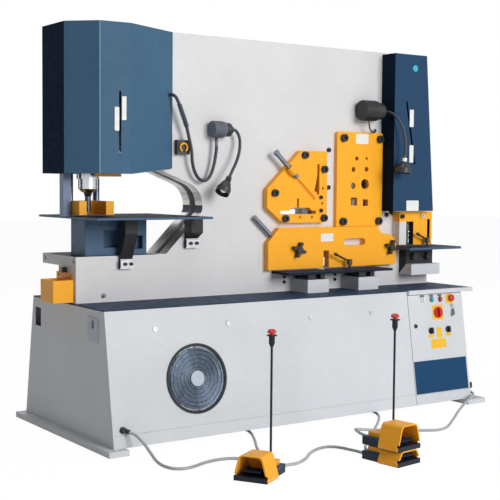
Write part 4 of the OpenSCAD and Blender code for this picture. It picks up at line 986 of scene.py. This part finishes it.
# Cooling ribs of the lamp bases: first place, step, count, depth, height, radius and finish
LAMP_RIBS = {
    "left_lamp_ribs": (-0.410, 0.0115, 6, -0.130, 1.624, 0.044, "legend_grey"),
    "right_lamp_ribs": (0.652, 0.014, 7, -0.150, 1.772, 0.060, "black_plastic"),
}
RIB_WIRE = 0.0022
RIB_SIDES = 56
FEED_END = (-0.384, -0.130, 1.535)
FEED_RING = 0.0102
FEED_RING_WIRE = 0.0013
FEED_RING_STEP = 0.008
FEED_RING_COUNT = 4


def stacked_rings(radius, wire, step, count, sides):
    """Wire rings one over the other about local Z."""
    rings = bmesh.new()
    for i in range(count):
        add_ring(rings, radius, wire, step * i, sides)
    return rings


def add_lamp_ribs():
    """Ribs of the two lamp bases, collars of the lamp heads, and rings at the feed's end."""
    for name, (first, step, count, y, z, radius, finish) in LAMP_RIBS.items():
        ribs = stacked_rings(radius, RIB_WIRE, step, count, RIB_SIDES)
        place = Matrix.Translation((first, y, z)) @ Matrix.Rotation(QUARTER_TURN, 4, "Y")
        add_piece(name, ribs, finish, "machine", place, WIRE_SMOOTH)
    for name, (end, direction, *_, finish) in LAMP_HEADS.items():
        add_piece(name + "_collar", turned(COLLAR_PROFILE), finish, "machine",
                  at_lamp_head(end, direction))
    rings = stacked_rings(FEED_RING, FEED_RING_WIRE, FEED_RING_STEP, FEED_RING_COUNT, SMALL_SIDES)
    add_piece("feed_end_rings", rings, "bright_steel", "machine",
              Matrix.Translation(FEED_END), WIRE_SMOOTH)


# Clip on the small switch box, its angles in degrees, and the spring round the feed: its ends,
# and its radius, turns and wire
CLIP_PLACE = (-0.590, -0.1235, 1.520)
CLIP_RADIUS = 0.022
CLIP_WIRE = 0.0055
CLIP_ANGLES = range(-60, 241, 12)
FEED_SPRING = (Vector((-0.634, -0.146, 1.750)), Vector((-0.584, -0.143, 1.630)))
FEED_COIL = (0.0125, 22, 0.0018)


def add_switch_box_parts():
    """Open clip on the small switch box, and the spring that guards the feed from kinks."""
    angles = [math.radians(degrees) for degrees in CLIP_ANGLES]
    clip = [Vector((CLIP_RADIUS * math.cos(a), 0.0, CLIP_RADIUS * math.sin(a))) for a in angles]
    add_piece("switch_clip", swept(clip, [CLIP_WIRE] * len(clip), ROD_SIDES), "guard_paint",
              "machine", Matrix.Translation(CLIP_PLACE))
    add_spring("feed_spring", "column_steel", *FEED_SPRING, *FEED_COIL)


# Values for the panel, and operators

class IRONWORKER_PG_looks(PropertyGroup):
    """Colours and sizes of the machine's looks."""

    frame_colour: FloatVectorProperty(
        name="Frame", description="Paint of the frame", default=srgb(217, 216, 217), size=4,
        subtype="COLOR", min=0, max=1)
    cabinet_colour: FloatVectorProperty(
        name="Cabinet", description="Paint of the cabinet", default=srgb(208, 211, 215), size=4,
        subtype="COLOR", min=0, max=1)
    punch_cover_colour: FloatVectorProperty(
        name="Punch cover", description="Paint of the punch cover", default=srgb(66, 99, 126),
        size=4, subtype="COLOR", min=0, max=1)
    shear_cover_colour: FloatVectorProperty(
        name="Shear cover", description="Paint of the shear cover", default=srgb(38, 68, 98),
        size=4, subtype="COLOR", min=0, max=1)
    guard_colour: FloatVectorProperty(
        name="Guards", description="Paint of the guards and pedals", default=srgb(252, 174, 36),
        size=4, subtype="COLOR", min=0, max=1)
    hose_colour: FloatVectorProperty(
        name="Hoses", description="Rubber of the pedal hoses", default=srgb(172, 174, 178),
        size=4, subtype="COLOR", min=0, max=1)
    hose_diameter: FloatProperty(
        name="Hose diameter", description="Outside diameter of the pedal hoses", default=0.015,
        min=0.010, max=0.020, subtype="DISTANCE", unit="LENGTH")


class IRONWORKER_OT_finishes(Operator):
    """Paint, steel and plastic of every solid"""

    bl_idname = "ironworker.finishes"
    bl_label = "Finishes"

    def execute(self, context):
        make_finishes(context.scene.ironworker_looks)
        finish_solids()
        soften_edges()
        return {"FINISHED"}


class IRONWORKER_OT_hoses(Operator):
    """Hoses from the machine to the pedals"""

    bl_idname = "ironworker.hoses"
    bl_label = "Hoses"

    def execute(self, context):
        for name, (node, points) in HOSES.items():
            add_hose(name, node, points, context.scene.ironworker_looks.hose_diameter)
        return {"FINISHED"}


class IRONWORKER_OT_conduits(Operator):
    """Goosenecks and feeds of the work lamps"""

    bl_idname = "ironworker.conduits"
    bl_label = "Lamp conduits"

    def execute(self, context):
        for name, (radius, points) in CONDUITS.items():
            add_conduit(name, radius, points)
        return {"FINISHED"}


class IRONWORKER_OT_lamps(Operator):
    """Bulbs, ribs and collars of the work lamps, and the parts of the left lamp's feed"""

    bl_idname = "ironworker.lamps"
    bl_label = "Lamp parts"

    def execute(self, context):
        add_lamp_bulbs()
        add_lamp_ribs()
        add_switch_box_parts()
        return {"FINISHED"}


class IRONWORKER_OT_wires(Operator):
    """Fine rings, hub disc and inlet of the fan"""

    bl_idname = "ironworker.wires"
    bl_label = "Fan wires"

    def execute(self, context):
        add_fan_wires()
        return {"FINISHED"}


class IRONWORKER_OT_plates(Operator):
    """Bare plates, scale strips, keys and other small parts"""

    bl_idname = "ironworker.plates"
    bl_label = "Plates and small parts"

    def execute(self, context):
        add_door_plates()
        add_button_rings()
        add_main_dial()
        add_keys()
        add_cover_marks()
        add_blank_plates(GUARD_PLATES)
        add_frame_parts()
        add_notch_parts()
        add_pedal_skirts()
        return {"FINISHED"}


# Camera of the photograph, and the stage
CAMERA_PLACE = Vector((-3.69565, -5.24686, 1.33291))
CAMERA_YAW = math.radians(34.692)
CAMERA_PITCH = math.radians(-3.499)
CAMERA_ROLL = math.radians(0.487)
CAMERA_LENS = 79.327
CAMERA_SENSOR = 36.0
FLOOR_HALF = 30.0
FLOOR_DROP = 0.0005
FLOOR_SHADE = (0.92, 0.92, 0.92, 1)
FLOOR_STRENGTH = 1.02
FLOOR_GLOW = 0.95
AMBIENT = 0.15

# Lights: place, target, size in metres and power in watts
LIGHTS = {
    "key_light": ((2.0, -10.8, 4.8), (0, 0, 1.0), 5.0, 880),
    "front_light": ((-0.5, -8.0, 2.5), (-0.3, 0, 1.0), 4.0, 50),
    "top_light": ((-0.4, 1.0, 6.0), (0, 0, 1.0), 4.0, 120),
}


def add_camera():
    """Camera at the photograph's place."""
    data = bpy.data.cameras.new("camera")
    data.lens = CAMERA_LENS
    data.sensor_width = CAMERA_SENSOR
    camera = bpy.data.objects.new("camera", data)
    level = Vector((math.cos(CAMERA_YAW), -math.sin(CAMERA_YAW), 0))
    ahead = Vector((math.sin(CAMERA_YAW) * math.cos(CAMERA_PITCH),
                    math.cos(CAMERA_YAW) * math.cos(CAMERA_PITCH), math.sin(CAMERA_PITCH)))
    above = level.cross(ahead)
    right = math.cos(CAMERA_ROLL) * level + math.sin(CAMERA_ROLL) * above
    up = right.cross(ahead)
    aim = Matrix((right, up, -ahead)).transposed().to_4x4()
    camera.matrix_world = Matrix.Translation(CAMERA_PLACE) @ aim
    bpy.context.scene.collection.objects.link(camera)
    bpy.context.scene.camera = camera


def add_light(name, place, target, size, energy):
    """Soft area light aimed at a point."""
    data = bpy.data.lights.new(name, "AREA")
    data.size = size
    data.energy = energy
    light = bpy.data.objects.new(name, data)
    aim = (Vector(target) - Vector(place)).to_track_quat("-Z", "Y").to_matrix().to_4x4()
    light.matrix_world = Matrix.Translation(place) @ aim
    bpy.context.scene.collection.objects.link(light)


def seen_directly(tree):
    """1 for rays that show the background: camera, glossy and transmission rays."""
    path = tree.nodes.new("ShaderNodeLightPath")
    total = path.outputs["Is Camera Ray"]
    for output in ("Is Glossy Ray", "Is Transmission Ray"):
        either = tree.nodes.new("ShaderNodeMath")
        either.operation = "MAXIMUM"
        tree.links.new(total, either.inputs[0])
        tree.links.new(path.outputs[output], either.inputs[1])
        total = either.outputs[0]
    return total


def add_world():
    """White to look at, softer as a light."""
    world = bpy.data.worlds.new("studio")
    world.use_nodes = True
    tree = world.node_tree
    background = tree.nodes["Background"]
    background.inputs["Color"].default_value = (1, 1, 1, 1)
    strength = tree.nodes.new("ShaderNodeMapRange")
    strength.inputs["To Min"].default_value = AMBIENT
    strength.inputs["To Max"].default_value = 1.0
    tree.links.new(seen_directly(tree), strength.inputs["Value"])
    tree.links.new(strength.outputs["Result"], background.inputs["Strength"])
    bpy.context.scene.world = world


def add_floor():
    """Pale floor that keeps the shadow of the machine."""
    mesh_builder = bmesh.new()
    corners = [(-FLOOR_HALF, -FLOOR_HALF), (FLOOR_HALF, -FLOOR_HALF), (FLOOR_HALF, FLOOR_HALF),
               (-FLOOR_HALF, FLOOR_HALF)]
    mesh_builder.faces.new(add_loop(mesh_builder, [(x, y, -FLOOR_DROP) for x, y in corners]))
    mesh = bpy.data.meshes.new("floor")
    mesh_builder.to_mesh(mesh)
    mesh_builder.free()
    floor = bpy.data.objects.new("floor", mesh)
    bpy.context.scene.collection.objects.link(floor)
    material = bpy.data.materials.new("floor")
    material.use_nodes = True
    tree = material.node_tree
    tree.nodes.remove(tree.nodes["Principled BSDF"])
    diffuse = tree.nodes.new("ShaderNodeBsdfDiffuse")
    diffuse.inputs["Color"].default_value = FLOOR_SHADE
    emission = tree.nodes.new("ShaderNodeEmission")
    emission.inputs["Strength"].default_value = FLOOR_STRENGTH
    mix = tree.nodes.new("ShaderNodeMixShader")
    share = tree.nodes.new("ShaderNodeMath")
    share.operation = "MULTIPLY"
    share.inputs[1].default_value = FLOOR_GLOW
    tree.links.new(seen_directly(tree), share.inputs[0])
    tree.links.new(share.outputs[0], mix.inputs[0])
    tree.links.new(diffuse.outputs[0], mix.inputs[1])
    tree.links.new(emission.outputs[0], mix.inputs[2])
    tree.links.new(mix.outputs[0], tree.nodes["Material Output"].inputs["Surface"])
    mesh.materials.append(material)


class IRONWORKER_OT_stage(Operator):
    """Camera, floor, backdrop and soft studio light"""

    bl_idname = "ironworker.stage"
    bl_label = "Stage"

    def execute(self, context):
        context.scene.view_settings.view_transform = "Standard"
        add_camera()
        add_world()
        add_floor()
        for name, (place, target, size, energy) in LIGHTS.items():
            add_light(name, place, target, size, energy)
        return {"FINISHED"}


class IRONWORKER_PT_panel(Panel):
    """Lists the steps that dress the machine"""

    bl_label = "Ironworker"
    bl_idname = "IRONWORKER_PT_panel"
    bl_space_type = "VIEW_3D"
    bl_region_type = "UI"
    bl_category = "Ironworker"

    def draw(self, context):
        looks = context.scene.ironworker_looks
        for name in looks.bl_rna.properties.keys():
            if name not in {"rna_type", "name"}:
                self.layout.prop(looks, name)
        for step in STEPS:
            self.layout.operator(step.bl_idname)


STEPS = (IRONWORKER_OT_stage, IRONWORKER_OT_finishes, IRONWORKER_OT_hoses, IRONWORKER_OT_conduits,
         IRONWORKER_OT_lamps, IRONWORKER_OT_wires, IRONWORKER_OT_plates)
CLASSES = (IRONWORKER_PG_looks, *STEPS, IRONWORKER_PT_panel)


def register():
    for cls in CLASSES:
        bpy.utils.register_class(cls)
    bpy.types.Scene.ironworker_looks = PointerProperty(type=IRONWORKER_PG_looks)


def unregister():
    del bpy.types.Scene.ironworker_looks
    for cls in reversed(CLASSES):
        bpy.utils.unregister_class(cls)


def main():
    """Dresses the machine."""
    register()
    bpy.ops.ironworker.stage()
    bpy.ops.ironworker.finishes()
    bpy.ops.ironworker.hoses()
    bpy.ops.ironworker.conduits()
    bpy.ops.ironworker.lamps()
    bpy.ops.ironworker.wires()
    bpy.ops.ironworker.plates()


if __name__ == "__main__":
    main()
